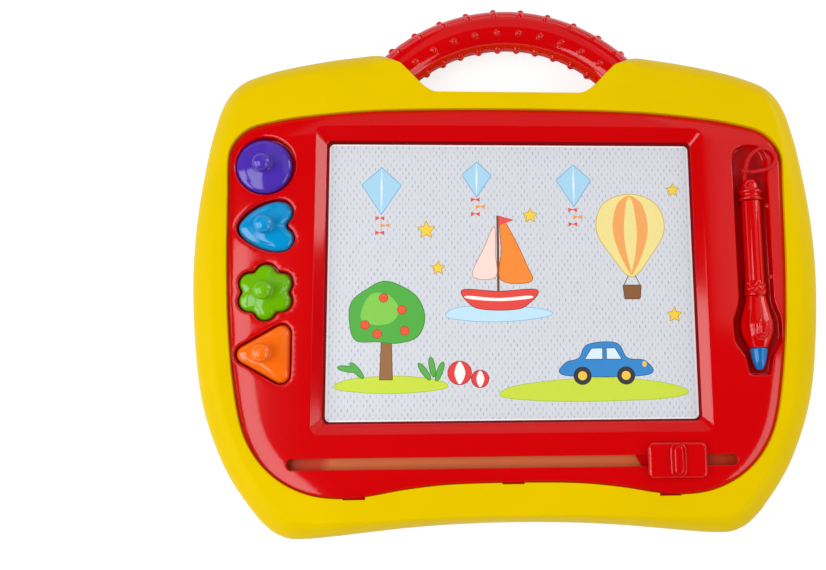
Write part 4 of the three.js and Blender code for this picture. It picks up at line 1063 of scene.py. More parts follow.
class DRAWING_BOARD_OT_case(bpy.types.Operator):
    """Front frame and rear cover of the yellow case"""

    bl_idname = "drawing_board.case"
    bl_label = "Case"

    def execute(self, context):
        step = 2.2
        rows = case_outline(step)
        plan, flank = rows[:, :2], rows[:, 2] * FLANK
        opening = panel_outline(step)
        rise, slope = size("shoulder_rise"), size("shoulder_slope")
        shoulder = np.array([(51.7, 120.0), (130.0, 115.6), (127.8, 139.5), (77.1, 147.5), (51.7, 147.5)])

        def lift(points):
            """How much higher the face is on the shoulders over the handle's roots."""
            places = np.column_stack([np.abs(points[:, 0]), points[:, 1]])
            depth = np.where(inside(places, shoulder), distance_to(places, shoulder), 0)
            return rise * smooth(depth / slope)

        # Up the frame's side: shares of the flank's width, and heights
        side = [(0, FRAME_FOOT), (0, 14.2), (0.02, 16), (0.1, 18.2), (0.22, 20.3), (0.38, 22.2)]
        side += [(0.58, 24.3), (0.78, 25.8), (0.93, 26.6), (1.0, 26.9), (1.07, FRAME_FACE)]
        shell = Shell()
        rings = []
        for share, z in spline(side, 2):
            ring = offset(plan, -max(0, share) * flank)
            rings.append(level(ring, z + lift(ring) * smooth((z - FRAME_FOOT) / 15)))
        shell.rings(rings)

        def face(points):
            return FRAME_FACE + lift(points)

        on_face, _ = pocket(shell, opening, face, SEAM_FOOT, size("seam_edge"), 0.0)
        shell.sheet(rings[-1][:, :2], [on_face], face, 3.2)
        notches = []
        for x in TAB_PLACES:
            notches.append(slab(rounded_box(*TAB_NOTCH, x, panel_edge(x), 2, 2), 18.0, 29.0))
        piece(
            "case_front_frame",
            shell,
            finish(YELLOW),
            "board",
            ["front_frame"],
            wall=WALL,
            tools=[*handle_room(), *notches],
        )

        # The cover is laid out with its back up, and flipped when it is made
        cover = Shell()
        curve = size("back_round")
        rings = [level(plan, -BACK_SEAM)]
        for angle in np.linspace(0, math.pi / 2, 7):
            ring = offset(plan, -curve * (1 - math.cos(angle)))
            rings.append(level(ring, -curve * (1 - math.sin(angle))))
        cover.rings(rings)

        def flat(points):
            return np.zeros(len(points))

        sinks = [(circle(SINK_RADIUS, 28, x, y), SINK_DEPTH) for x, y in SCREW_PLACES]
        groove = rounded_box(*TRACK_GROOVE, WINDOW_X, SLOT_Y, 5, 40)
        mouths = []
        for outline, depth in [*sinks, (groove, TRACK_TOP - WALL)]:
            mouth, floor = pocket(cover, outline, flat, -depth, 0.4, 0.3, 2)
            cover.cap(level(floor, -depth))
            mouths.append(mouth)
        cover.sheet(rings[-1][:, :2], mouths, flat, 12.0)
        piece(
            "case_rear_cover",
            cover,
            finish(YELLOW),
            "board",
            ["rear_cover"],
            wall=WALL,
            flip=True,
            tools=handle_room(),
        )
        return {"FINISHED"}


class DRAWING_BOARD_OT_track(bpy.types.Operator):
    """The strip on the eraser's track, seen through the slot, coloured with painted shade"""

    bl_idname = "drawing_board.track"
    bl_label = "Track strip"

    def execute(self, context):
        plan = rounded_box(*TRACK_STRIP, WINDOW_X, SLOT_Y, 8, 40)
        strip = slab(plan, TRACK_TOP + 0.02, TRACK_TOP + 0.14)
        piece("eraser_track_strip", strip, finish("moulded_polypropylene_amber"), "board")
        return {"FINISHED"}


class DRAWING_BOARD_OT_front_panel(bpy.types.Operator):
    """Red front panel with its window, bevel, stamp pockets, pen well and eraser slot"""

    bl_idname = "drawing_board.front_panel"
    bl_label = "Front panel"

    def execute(self, context):
        outline = panel_outline(2.0)
        roll = size("panel_roll")

        def height(points):
            """The panel's face, which rolls down to its rim."""
            share = np.clip(distance_to(points, outline) / roll, 0, 1)
            return PANEL_RIM + (PANEL_FACE - PANEL_RIM) * (1 - (1 - share) ** 2.2)

        shell = Shell()
        rim = [level(offset(outline, -0.12), z) for z in (21.8, 23.4)]
        rim.append(level(offset(outline, -0.2), 23.68))
        edge = offset(outline, -0.45)
        rim.append(level(edge, height(edge)))
        shell.rings(rim)

        # Down the window's bevel and its upright lip: shares of the way inwards, and heights
        mouth = rounded_box(*BEVEL, *BEVEL_MIDDLE, 10, 90)
        window = rounded_box(*WINDOW, WINDOW_X, 0, 10, 90)
        rows = [(-0.11, PANEL_FACE), (-0.05, 25.58), (0.0, 25.5), (0.05, 25.3), (0.11, 24.94), (0.35, 23.7)]
        rows += [(0.6, 22.4), (0.78, 21.45), (0.82, 21.15), (0.86, 20.65), (0.93, 19.7), (0.98, 19.1)]
        rings = []
        for share, z in [*rows, (1.0, WINDOW_UNDER)]:
            ring = mouth + share * (window - mouth)
            rings.append(level(ring, z + (height(ring) - PANEL_FACE) * smooth((0.15 - share) / 0.2)))
        shell.rings(rings)
        holes = [rings[0][:, :2]]

        edge_round = size("pocket_edge")
        for kind, (x, y, _) in STAMPS.items():
            place = offset(even(stamp_outline(kind), 1.0), 0.4 - edge_round) + [x, y]
            on_face, floor = pocket(shell, place, height, STAMP_FLOOR, edge_round, 0.8)
            shell.sheet(floor, [], lambda points: np.full(len(points), STAMP_FLOOR), 6.0)
            holes.append(on_face)

        well = well_outline()
        on_face, floor = pocket(shell, well, height, PANEL_FACE - WELL_SHELF, size("well_edge"), 1.6, 5)
        holes.append(on_face)

        def cradle(points):
            """The well's floor: it falls from its walls, with a groove of the pen's own shape."""
            share = np.clip(1 - distance_to(points, floor) / 6, 0, 1)
            shelf = PANEL_FACE - WELL_DEPTH + (WELL_DEPTH - WELL_SHELF) * share**2
            return np.where(share > 0.999, shelf, np.minimum(shelf, pen_groove(points)))

        bed = Shell()
        bed.sheet(floor, [], cradle, 1.0)
        wall = size("panel_wall")
        # The floor's darker colour is painted shade
        piece("pen_well_floor", bed, finish("textured_abs_red"), "board", wall=wall)

        slot = rounded_box(SLOT[0], SLOT[1], SLOT[1] / 2 - 0.01, WINDOW_X, SLOT_Y, 8, 100)
        on_face, _ = pocket(shell, slot, height, SLOT_FOOT, 0.45, 0.0, 3)
        holes.append(on_face)

        depths = (1.5, 2.6, 3.7, 4.8, 6.0, 7.3, 8.6, 10.0, 11.5, 13.0, 14.6)
        shell.sheet(edge, holes, height, 4.0, [offset(outline, -depth) for depth in depths])
        piece("panel_moulding", shell, finish(RED), "board", ["front_panel"], wall=wall)

        # Painted shade: a thin dark sheet laid on the foot of the bevel stands for the shadow along the
        # window's lip
        lip_shade = Shell()
        rows = [(0.825, 21.13), (0.86, 20.76), (0.93, 19.82), (0.985, 19.2), (1.004, 18.78)]
        lip_shade.rings([level(mouth + share * (window - mouth), z) for share, z in rows])
        piece("window_gasket", lip_shade, finish("moulded_tpe_maroon"), "board", wall=0.08)

        clips = Shell()
        for x in TAB_PLACES:
            slab(rounded_box(*TAB, x, panel_edge(x) - 0.05, 2, 2), 19.0, 22.8, 0.2, clips)
        piece("panel_snap_tabs", clips, finish(RED), "board")

        # Two round-nosed nubs stand out of the well's right wall, beside the pen
        nubs = Shell()
        for down in (42.6, 91.5):
            rings = []
            for share in np.linspace(0, 1, 8):
                y, z = circle(NUB_RADIUS * math.sqrt(1 - 0.98 * share**2), 20).T
                x = np.full(20, WELL_X + 12.8 - 3.4 * share)
                rings.append(np.column_stack([x, WELL_TOP - down + y, NUB_HEIGHT + z]))
            solid(rings, nubs)
        piece("pen_well_nubs", nubs, finish(RED), "board")
        return {"FINISHED"}


class DRAWING_BOARD_OT_handle(bpy.types.Operator):
    """The two halves of the bowed red handle, with their rows of grip bumps"""

    bl_idname = "drawing_board.handle"
    bl_label = "Handle"

    def execute(self, context):
        reach, height = size("bump_reach"), size("bump_height")
        stations = np.linspace(50, 130, 10)
        rows = np.array([-81.0, -22.0, 38.0, 78.0])
        # Degrees along the bow, close together at the bumps
        near = np.linspace(-1.35, 1.35, 15)
        fine = np.concatenate([s + near for s in stations])
        between = np.concatenate([s + np.linspace(2.2, 6.7, 4) for s in stations[:-1]])
        right, left = np.arange(TUBE_ROOT, 48.5, 1.2), np.arange(131.6, 180 - TUBE_ROOT + 0.1, 1.2)
        angles = np.sort(np.concatenate([fine, between, right, left]))
        # Degrees round the tube, close together at the bumps
        near = np.linspace(-10.5, 10.5, 14)
        plain = [*np.arange(-70, -34, 6), *np.arange(-9, 28, 6), 53, 58, 63, 89.99, -90]
        turns = np.concatenate([*(row + near for row in rows), plain])
        turns = np.unique(np.clip(turns, -90, 90))
        arc = np.radians(np.concatenate([turns, np.linspace(90, -90, 19)]))
        outer = np.arange(len(arc)) < len(turns)
        wide, tall = TUBE[0] - WALL * ~outer, TUBE[1] - WALL * ~outer
        radial, rise = wide * np.sin(arc), tall * np.cos(arc)
        girth = np.hypot(TUBE[0] * np.cos(arc), TUBE[1] * np.sin(arc))
        normal = np.stack([np.sin(arc) / TUBE[0], np.cos(arc) / TUBE[1]], 1)
        normal /= np.linalg.norm(normal, axis=1)[:, None]
        # The rows of bumps end nearer the middle on the inside of the bow than on its outside
        spread = 0.895 + 0.135 * (np.degrees(arc) + 90) / 165
        for side, name in ((1, "front"), (-1, "rear")):
            rings = []
            for angle in angles:
                station = stations[np.argmin(abs(stations - angle))]
                run = (HANDLE_RADIUS + radial) * np.radians(angle - station) * spread
                push = np.zeros(len(arc))
                for row in rows:
                    around = (arc - math.radians(row)) * girth
                    share = (run**2 + around**2) / reach**2
                    push = np.maximum(push, height * np.clip(1 - share, 0, 1) ** 0.7)
                push = push * outer
                place = np.radians(90 + (angle - 90) * spread)
                out = HANDLE_RADIUS + radial + normal[:, 0] * push
                up = side * (rise + normal[:, 1] * push + FIT / 2)
                ring = np.stack([out * np.cos(place), HANDLE_Y + out * np.sin(place), TUBE_HEIGHT + up], 1)
                rings.append(ring[::-1] if side > 0 else ring)
            nodes = [f"handle_{name}_half"]
            piece(f"handle_{name}_shell", solid(rings), finish(RED), "board", nodes)
        return {"FINISHED"}


class DRAWING_BOARD_OT_screen(bpy.types.Operator):
    """The screen's film over its cells, and the generic picture printed on it"""

    bl_idname = "drawing_board.screen"
    bl_label = "Screen"

    def execute(self, context):
        film = slab(rounded_box(*FILM, WINDOW_X), FILM_TOP - FILM_THICK, FILM_TOP, 0.1)
        look = finish("pet_film_over_cells")
        piece("screen_front_film", film, look, "board", ["screen_film"])
        inks = {}

        def draw(code, outline, layer, line=None):
            """One printed shape; a line colour prints a thin outline under it."""
            x, y = outline.T
            if np.sum(x * np.roll(y, -1) - y * np.roll(x, -1)) < 0:
                outline = outline[::-1]
            if line:
                draw(line, offset(even(outline, 0.8), 0.45), layer - 0.5)
            shell = inks.setdefault(code, Shell())
            low = FILM_TOP + 0.012
            slab(even(outline, 0.8), low, low + 0.012 + 0.014 * layer, 0, shell)

        def oval(x, y, across, down, turn=0.0):
            return circle(1, 60) * [across / 2, down / 2] @ rotation(turn) + [x, y]

        def shape(x, y, points, steps=8):
            return spline(corners(x, y, points), steps, closed=True)

        def corners(x, y, points):
            return np.array(points, float) + [x, y]

        # Kites, each with a spar and three bows on its tail
        bow = [(-3, -1.6), (0, 0.2), (3, -1.6), (3, 1.6), (0, 0.4), (-3, 1.6)]
        for x, y, big in ((-86, 62, 1.0), (-22, 70, 0.75), (44, 66, 0.9)):
            foot, head, wing, shoulder = -17 * big, 15 * big, 13 * big, 3 * big
            kite = corners(x, y, [(0, foot), (wing, shoulder), (0, head), (-wing, shoulder)])
            draw("#A6D3EC", kite, 2, "#5FA8D3")
            draw("#F2F7FB", corners(x, y, [(0, foot), (0.6, 0), (0, head), (-0.6, 0)]), 3)
            for step in range(3):
                aside, code = (2.5, "#F39A3C") if step % 2 else (-1.0, "#E9504A")
                draw(code, corners(x + aside, y - 20 * big - 5 * step, bow), 2)

        # Balloon
        envelope = [(0, -26), (13, -12), (23, 6), (18, 24), (0, 31), (-18, 24), (-23, 6), (-13, -12)]
        draw("#F0DE8E", shape(82, 28, envelope), 2, "#C9A23C")
        stripe = [(0, -25), (7.5, -11), (12, 7), (8.5, 24), (0, 30.4), (2.5, 24), (4.4, 6), (3, -10)]
        draw("#F2A65A", shape(82, 28, stripe), 3)
        stripe = [(0, -25), (-3, -10), (-4.4, 6), (-2.5, 24), (0, 30.4), (-8.5, 24), (-12, 7), (-7.5, -11)]
        draw("#F2A65A", shape(82, 28, stripe), 3)
        draw("#8A5A34", corners(82, -7, [(-5, -6), (5, -6), (6, 3), (-6, 3)]), 3, "#5E3A20")
        for lean in (-1, 1):
            rope = [(lean * 5.4, -4), (lean * 5.9, -4), (lean * 2.4, 3), (lean * 1.9, 3)]
            draw("#5E3A20", corners(82, 0, rope), 2)

        # Grass and tree
        hill, hill_line, leaf, leaf_line = "#C9DD3A", "#A8C423", "#57B046", "#2F7F2C"
        ground = [(-60, -6), (-20, -9), (40, -8), (62, -4), (48, 2), (10, 6), (-30, 4), (-56, 0)]
        draw(hill, shape(55, -72, ground), 1, hill_line)
        ground = [(-36, -4), (0, -7), (34, -4), (30, 1), (4, 4), (-28, 2)]
        draw(hill, shape(-78, -68, ground), 1, hill_line)
        draw("#9A6A3C", corners(-82, -60, [(-4, -6), (4, -6), (3, 22), (-3, 22)]), 3, "#6E4724")
        crown = [(-24, -2), (-20, -14), (-6, -15), (7, -16), (20, -12), (25, 0), (21, 13), (11, 21)]
        crown += [(-2, 25), (-14, 19), (-23, 11)]
        draw("#4FAE3E", shape(-82, -26, crown), 4, leaf_line)
        draw("#83CB4B", shape(-86, -22, [(-13, -3), (-4, -8), (8, -6), (12, 3), (5, 12), (-7, 12)]), 5)
        for x, y in ((-96, -30), (-84, -12), (-72, -20), (-70, -34), (-88, -36)):
            draw("#F0552E", oval(x, y, 5.4, 5.4), 6, "#A8301A")
        leaves = ((-52, -58, 30), (-47, -61, 0), (-57, -61, 55), (-107, -59, 100), (-101, -60, 60))
        for place, (x, y, turn) in enumerate(leaves):
            draw(leaf, oval(x, y, 3.4, 13, turn - 20), 3 + 0.2 * place, leaf_line)

        # Sailing boat
        maroon = "#8E1C1C"
        water = [(-34, -3), (-10, -6), (18, -5), (36, -1), (22, 3), (-6, 4), (-28, 3)]
        draw("#BFE3F4", shape(-8, -22, water), 2, "#7DBBDD")
        hull = [(-24, 5), (-18, -5), (-8, -8), (10, -8), (19, -5), (26, 5), (0, 4)]
        draw("#E8443C", shape(-8, -12, hull, 5), 4, maroon)
        stripe = [(-20, -0.8), (0, -2.4), (21, -0.8), (20.6, 1.2), (0, -0.4), (-20.6, 1.2)]
        draw("#FBF3EC", shape(-8, -12, stripe), 5)
        draw("#7A4A2A", corners(-8, -8, [(-0.8, 0), (0.8, 0), (0.8, 52), (-0.8, 52)]), 3)
        sail = [(0, 0), (20, -1), (17, 10), (9, 28), (0, 42), (0.4, 20)]
        draw("#F58A2E", shape(-6, 0, sail, 6), 5, "#B65614")
        sail = [(0, 2), (0, 18), (-0.4, 36), (-7, 22), (-15, 3)]
        draw("#FAD9CF", shape(-10, 0, sail, 6), 5, "#C98C7C")
        draw("#E9504A", corners(-8, 44, [(0.6, 0), (11, -3), (0.6, -7)]), 6)

        # Car
        glass, navy, lemon = "#D8EDF8", "#174F86", "#F4C542"
        body = [(-26, -6), (-26, 2), (-17, 5), (-11, 14), (8, 15), (15, 5), (27, 3), (28, -6)]
        draw("#2E86CC", shape(62, -58, body, 6), 4, navy)
        draw(glass, corners(62, -58, [(-13, 4.6), (-8.5, 11.4), (-1.5, 11.6), (-1.5, 4.6)]), 5, navy)
        draw(glass, corners(62, -58, [(1.5, 4.6), (1.5, 11.6), (7, 11.6), (11, 4.6)]), 5, navy)
        for x in (47, 76):
            draw("#33383E", oval(x, -64.5, 12, 12), 5)
            draw(lemon, oval(x, -64.5, 6, 6), 6)
        draw(lemon, oval(88.5, -57, 3, 4), 5)

        # Balls and stars
        for x, y, big, layer in ((-34, -62, 7.5, 4), (-20.6, -66, 5.5, 4.2)):
            draw("#E9363A", oval(x, y, 2 * big, 2 * big), layer, maroon)
            patch = [(0, big), (big * 0.5, 0), (0, -big), (-big * 0.45, 0)]
            draw("#FDF3EE", shape(x, y, patch), layer + 1)
        for x, y, big in ((-56, 34, 6), (14, 44, 5), (-48, 8, 4.5), (112, 62, 4.5), (110, -24, 5)):
            turns = np.radians(90 + np.arange(10) * 36)
            star = np.where(np.arange(10) % 2, 0.45, 1.0) * big
            draw("#F4CF3E", np.stack([x + star * np.cos(turns), y + star * np.sin(turns)], 1), 3, "#C79A1E")

        for place, (code, shell) in enumerate(inks.items(), 1):
            one = ink(f"screen_printed_ink_{place:02d}", linear(code))
            piece(f"screen_print_{place:02d}", shell, one, "board")
        return {"FINISHED"}


class DRAWING_BOARD_OT_eraser(bpy.types.Operator):
    """The eraser's knob, with its middle block and grip rib"""

    bl_idname = "drawing_board.eraser"
    bl_label = "Eraser knob"

    def execute(self, context):
        plan = rounded_box(*KNOB, ERASER_X, SLOT_Y, 8, 16)
        side = KNOB_FOOT + KNOB_SIDE
        rings = [level(plan, KNOB_FOOT), level(plan, side)]
        for angle in np.linspace(0, math.pi / 2, 7)[1:]:
            ring = offset(plan, -KNOB_ROUND[0] * (1 - math.cos(angle)))
            rings.append(level(ring, side + KNOB_ROUND[1] * math.sin(angle)))
        block = slab(rounded_box(*KNOB_BLOCK, ERASER_X, SLOT_Y, 8, 12), 27.5, 31.0, 1.0)
        rib = slab(rounded_box(*KNOB_RIB, ERASER_X, SLOT_Y, 8, 8), 29.0, 32.4, 1.1)
        piece(
            "eraser_knob_moulding",
            solid(rings),
            finish(RED),
            "eraser",
            ["eraser_knob"],
            adds=[block, rib],
        )
        return {"FINISHED"}


class DRAWING_BOARD_OT_stamps(bpy.types.Operator):
    """The four stamps: shaped plates with a domed back, a neck and a round knob"""

    bl_idname = "drawing_board.stamps"
    bl_label = "Stamps"

    def execute(self, context):
        # Up the stamp: share of its outline, height, how far it is a circle, and that circle's radius
        rows = [
            (1.0, 0.5, 0.0, 0),
            (1.0, 3.0, 0.0, 0),
            (0.985, 3.7, 0.0, 0),
            (0.93, 4.75, 0.0, 0),
            (0.83, 5.75, 0.0, 0),
            (0.7, 6.6, 0.12, 12.5),
            (0.5, 7.35, 0.6, 9.4),
            (0.4, 7.9, 0.95, 6.6),
            (0.3, 8.7, 1.0, 4.9),
            (0.3, 9.8, 1.0, 4.3),
            (0.3, 10.8, 1.0, 4.5),
            (0.3, 11.8, 1.0, 5.3),
            (0.3, 12.8, 1.0, 5.95),
            (0.3, 13.8, 1.0, 6.2),
            (0.3, 14.8, 1.0, 6.1),
            (0.3, 15.9, 1.0, 5.7),
            (0.3, 16.9, 1.0, 4.8),
            (0.3, 17.7, 1.0, 3.6),
            (0.3, 18.2, 1.0, 2.1),
            (0.3, 18.38, 1.0, 0.9),
        ]
        table = spline(rows, 3)
        for kind, (x, y, lean) in STAMPS.items():
            plan = offset(stamp_outline(kind), -STAMP_CLEARANCE)
            round_plan = circle(1.0, len(plan))
            sink = offset(plan, -3.2)
            rings = [level(sink, 1.8), level(sink, 0.0), level(offset(plan, -0.5), 0.0)]
            for share, z, blend, reach in table:
                blend = min(1, max(0, blend))
                rings.append(level((1 - blend) * share * plan + blend * reach * round_plan, z))
            rings = [ring + [x + lean, y, STAMP_FLOOR + FIT] for ring in rings]
            piece(
                f"{kind}_stamp_body",
                solid(rings),
                finish(f"moulded_polystyrene_stamp_{kind}"),
                f"{kind}_stamp",
                [f"{kind}_stamp"],
                sharp=50,
            )
        return {"FINISHED"}


class DRAWING_BOARD_OT_pen(bpy.types.Operator):
    """The pen: tail cap with two rings, barrel with a zigzag collar, fluted bulb and blue tip"""

    bl_idname = "drawing_board.pen"
    bl_label = "Pen"

    def execute(self, context):
        facet, ridge = size("facet_depth"), size("ridge_height")

        def line(distance, width):
            """Height of a raised line at a distance from its middle."""
            return ridge * np.clip(1 - (distance / width) ** 2, 0, 1)

        def collar(angles, y, radius):
            """Two zigzag lines round the barrel."""
            zigzag = 2.0 * (4 * np.abs(((angles * 5 / (2 * math.pi)) % 1) - 0.5) - 1)
            return 1.3 * (line(y - 53.0 - zigzag, 0.7) + line(y - 56.6 - zigzag, 0.7))

        def grip(angles, y, radius):
            """Four finger facets on the bulb, and nested grip lines on its front and back."""
            angles = (angles + math.pi) % (2 * math.pi) - math.pi
            depth = np.zeros(len(angles))
            ends = smooth((y - 16) / 7) * smooth((42 - y) / 7)
            for middle in (-2.3, -1.15, 1.15, 2.3):
                depth -= facet * ends * np.clip(1 - ((angles - middle) / 0.42) ** 2, 0, 1) ** 1.5
            for middle in (0.0, math.pi):
                away = (angles - middle + math.pi) % (2 * math.pi) - math.pi
                reach = np.hypot(away * radius, min(0, y - 24.5))
                for half in (1.3, 3.0, 4.7):
                    fade = smooth((36 - 1.2 * half - y) / 3)
                    depth += fade * line(reach - half, 0.5)
            return depth

        def fill(rows, step):
            return even(spline(rows, 8), step, closed=False)

        tip = turned(fill(TIP_ROWS, 0.5), 48)
        bulb = turned(fill(BULB_ROWS, 0.4), 144, grip)
        wide = BARREL_RADIUS
        flare = [(wide + 0.065 * (60 - y), y) for y in np.arange(50.2, 60, 0.3)]
        shaft = [(wide, 80), (wide, 100), (wide, 114.4), (wide - 0.4, 114.8)]
        barrel = turned([(wide, 49.4), (wide + 0.5, 49.8), *flare, *shaft], 96, collar)
        cap = turned([*fill(CAP_RINGS, 0.3), *fill(CAP_DOME, 0.4)], 64)
        x, z = circle(1.75, 24).T + [[PEN_X - 3.0], [PEN_HEIGHT]]
        hole = solid([np.column_stack([x, np.full(24, PEN_TIP_Y + y), z]) for y in (135.0, 124.6)])
        for name, shell, slot, look, tools in (
            ("tip", tip, "blue_moulding", "moulded_polystyrene_pen_tip", ()),
            ("bulb", bulb, "red_moulding", RED, ()),
            ("barrel", barrel, "red_moulding", RED, ()),
            ("tail_cap", cap, "red_moulding", RED, [hole]),
        ):
            nodes = [f"pen_{name}"]
            piece(f"pen_{name}_moulding", shell, finish(look), "pen", nodes, tools=tools, sharp=50)
        return {"FINISHED"}


class DRAWING_BOARD_OT_cord(bpy.types.Operator):
    """The pen's braided cord, looped back to its own strand, and the knot there"""

    bl_idname = "drawing_board.cord"
    bl_label = "Cord"

    def execute(self, context):
        radius, lay, step = size("cord_diameter") / 2, size("cord_lay"), 0.35
        path = even(spline(CORD_ROUTE, 20), step, closed=False)
        sides, ups = along(path)
        turns = np.arange(20) * 2 * math.pi / 20
        rings = []
        for i, (middle, side, up) in enumerate(zip(path, sides, ups)):
            twist = 2 * math.pi * i * step / lay
            braid = np.abs(np.sin(2 * turns + 2 * twist)) * np.abs(np.sin(2 * turns - 2 * twist))
            reach = radius * (0.66 + 0.34 * braid**0.6)
            rings.append(middle + np.outer(reach * np.cos(turns), side) + np.outer(reach * np.sin(turns), up))
        look = finish("braided_polyester_red")
        shell = solid(rings[::-1])
        strand = piece("pen_cord_braid", shell, look, "pen", ["pen_cord"], sharp=80)

        # The knot is a lumpy ring of cord round its own strand
        a, b = np.array(CORD_ROUTE[2]), np.array(CORD_ROUTE[3])
        way = (b - a) / np.linalg.norm(b - a)
        across = np.cross(way, [0, 0, 1.0])
        across /= np.linalg.norm(across)
        other = np.cross(way, across)
        rings = []
        for turn in np.arange(36) * 2 * math.pi / 36:
            out = across * math.cos(turn) + other * math.sin(turn)
            ring = []
            for spin in np.arange(14) * 2 * math.pi / 14:
                lump = 1 + 0.1 * math.sin(3 * turn + 2 * spin)
                away = 2.1 + 0.65 * lump * math.cos(spin)
                ahead = 1.45 * lump * math.sin(spin) + 0.25 * math.sin(2 * turn)
                ring.append((a + b) / 2 + out * away + way * ahead)
            rings.append(np.array(ring))
        knot = Shell()
        knot.rings([*rings, rings[0]])
        tied = piece("pen_cord_knot_wrap", knot, look, "pen", ["pen_cord_knot"], sharp=80)

        points, end = metres(path[:: max(1, len(path) // 39)]), metres(path[-1:])
        if not np.allclose(points[-1:], end):
            points = np.vstack([points, end])
        return {"FINISHED"}


class DRAWING_BOARD_OT_screws(bpy.types.Operator):
    """The ten case screws with their cross recesses, seen at the back"""

    bl_idname = "drawing_board.screws"
    bl_label = "Case screws"

    def execute(self, context):
        def recess(points):
            """The head's face: slightly domed, with a cross sunk in it."""
            across = np.minimum(np.abs(points[:, 0]), np.abs(points[:, 1]))
            reach = np.hypot(points[:, 0], points[:, 1])
            arm = smooth((0.62 - across) / 0.3) * smooth((2.1 - reach) / 0.35)
            return -SCREW_DEPTH - 0.12 * (reach / 3) ** 2 - 1.2 * arm

        # Up the shank and the head: rows of radius and height
        rows = [(0.3, -20.7), (1.5, -19.3), (1.5, -3.9), (1.7, -3.7)]
        rows += [(SCREW_HEAD, -3.7), (SCREW_HEAD, -2.2), (3.2, -1.85)]
        crown = circle(2.9, 32)
        rings = [*(level(circle(radius, 32), z) for radius, z in rows), level(crown, recess(crown))]
        for place, (x, y) in enumerate(SCREW_PLACES, 1):
            shell = Shell()
            shell.rings(rings)
            shell.cap(rings[0], up=False)
            shell.sheet(crown, [], recess, 0.28)
            shell.points = [points + [x, y, 0] for points in shell.points]
            piece(
                f"case_screw_head_{place:02d}",
                shell,
                finish("zinc_plated_steel"),
                "board",
                [f"case_screw_{place}"],
                flip=True,
            )
        return {"FINISHED"}


class DRAWING_BOARD_OT_inner_parts(bpy.types.Operator):
    """Finishes for the CAD parts that stay: eraser bar, clamp frame, cell core, magnets and small screws"""

    bl_idname = "drawing_board.inner_parts"
    bl_label = "Inner parts"

    def execute(self, context):
        looks = {
            "eraser_bar": RED,
            "screen_clamp_frame": "moulded_abs_white",
            "screen_core": "moulded_abs_white",
            "screen_back": "moulded_abs_white",
        }
        for name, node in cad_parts.items():
            if node.hide_render:
                continue
            look = looks.get(name)
            if look is None:
                look = "bonded_ferrite" if "magnet" in name else "zinc_plated_steel"
            node.data.materials.clear()
            node.data.materials.append(finish(look))
        return {"FINISHED"}


# Camera: place in metres, turns in degrees, sensor and lens in millimetres, shift in sensor widths
CAMERA_PLACE = (-0.03919, -0.1328, 0.67438)
CAMERA_TURNS = (("Y", -3.282), ("X", 9.745), ("Z", -0.716))
CAMERA_SENSOR, CAMERA_LENS = 36.0, 43.58
CAMERA_SHIFT = (-0.115, 0.00605)
FLOOR_REACH, FLOOR_HEIGHT = 6.0, -0.0004
# Soft lights: name, place, the way from the board to it, width, height in metres, brightness
SOFTBOXES = [
    ("left_softbox", (-1.3, -0.4, 0.85), (-1, 0, 0.4), 1.3, 0.75, 3.6),
    ("right_softbox", (1.3, 0.71, 0.7), (1, 0.3, 0.3), 0.6, 0.86, 3.4),
    ("right_front_softbox", (1.25, -0.75, 0.6), (1, -0.6, 0.35), 0.5, 0.5, 2.4),
    ("right_upper_softbox", (0.98, -0.36, 1.0), (0.7, -0.16, 0.7), 0.75, 0.45, 2.2),
    ("right_overhead", (1.0, 0.75, 1.32), (0, 0, 1), 1.02, 1.25, 0.5),
    ("left_overhead", (-0.72, -0.3, 1.32), (0, 0, 1), 0.58, 1.26, 3.2),
    ("back_overhead", (0.05, 1.24, 1.11), (0, 0.303, 0.953), 0.85, 1.39, 0.28),
    ("back_low", (0.0, 1.6, 0.62), (0, 1, 0.35), 3.0, 0.5, 0.3),
]


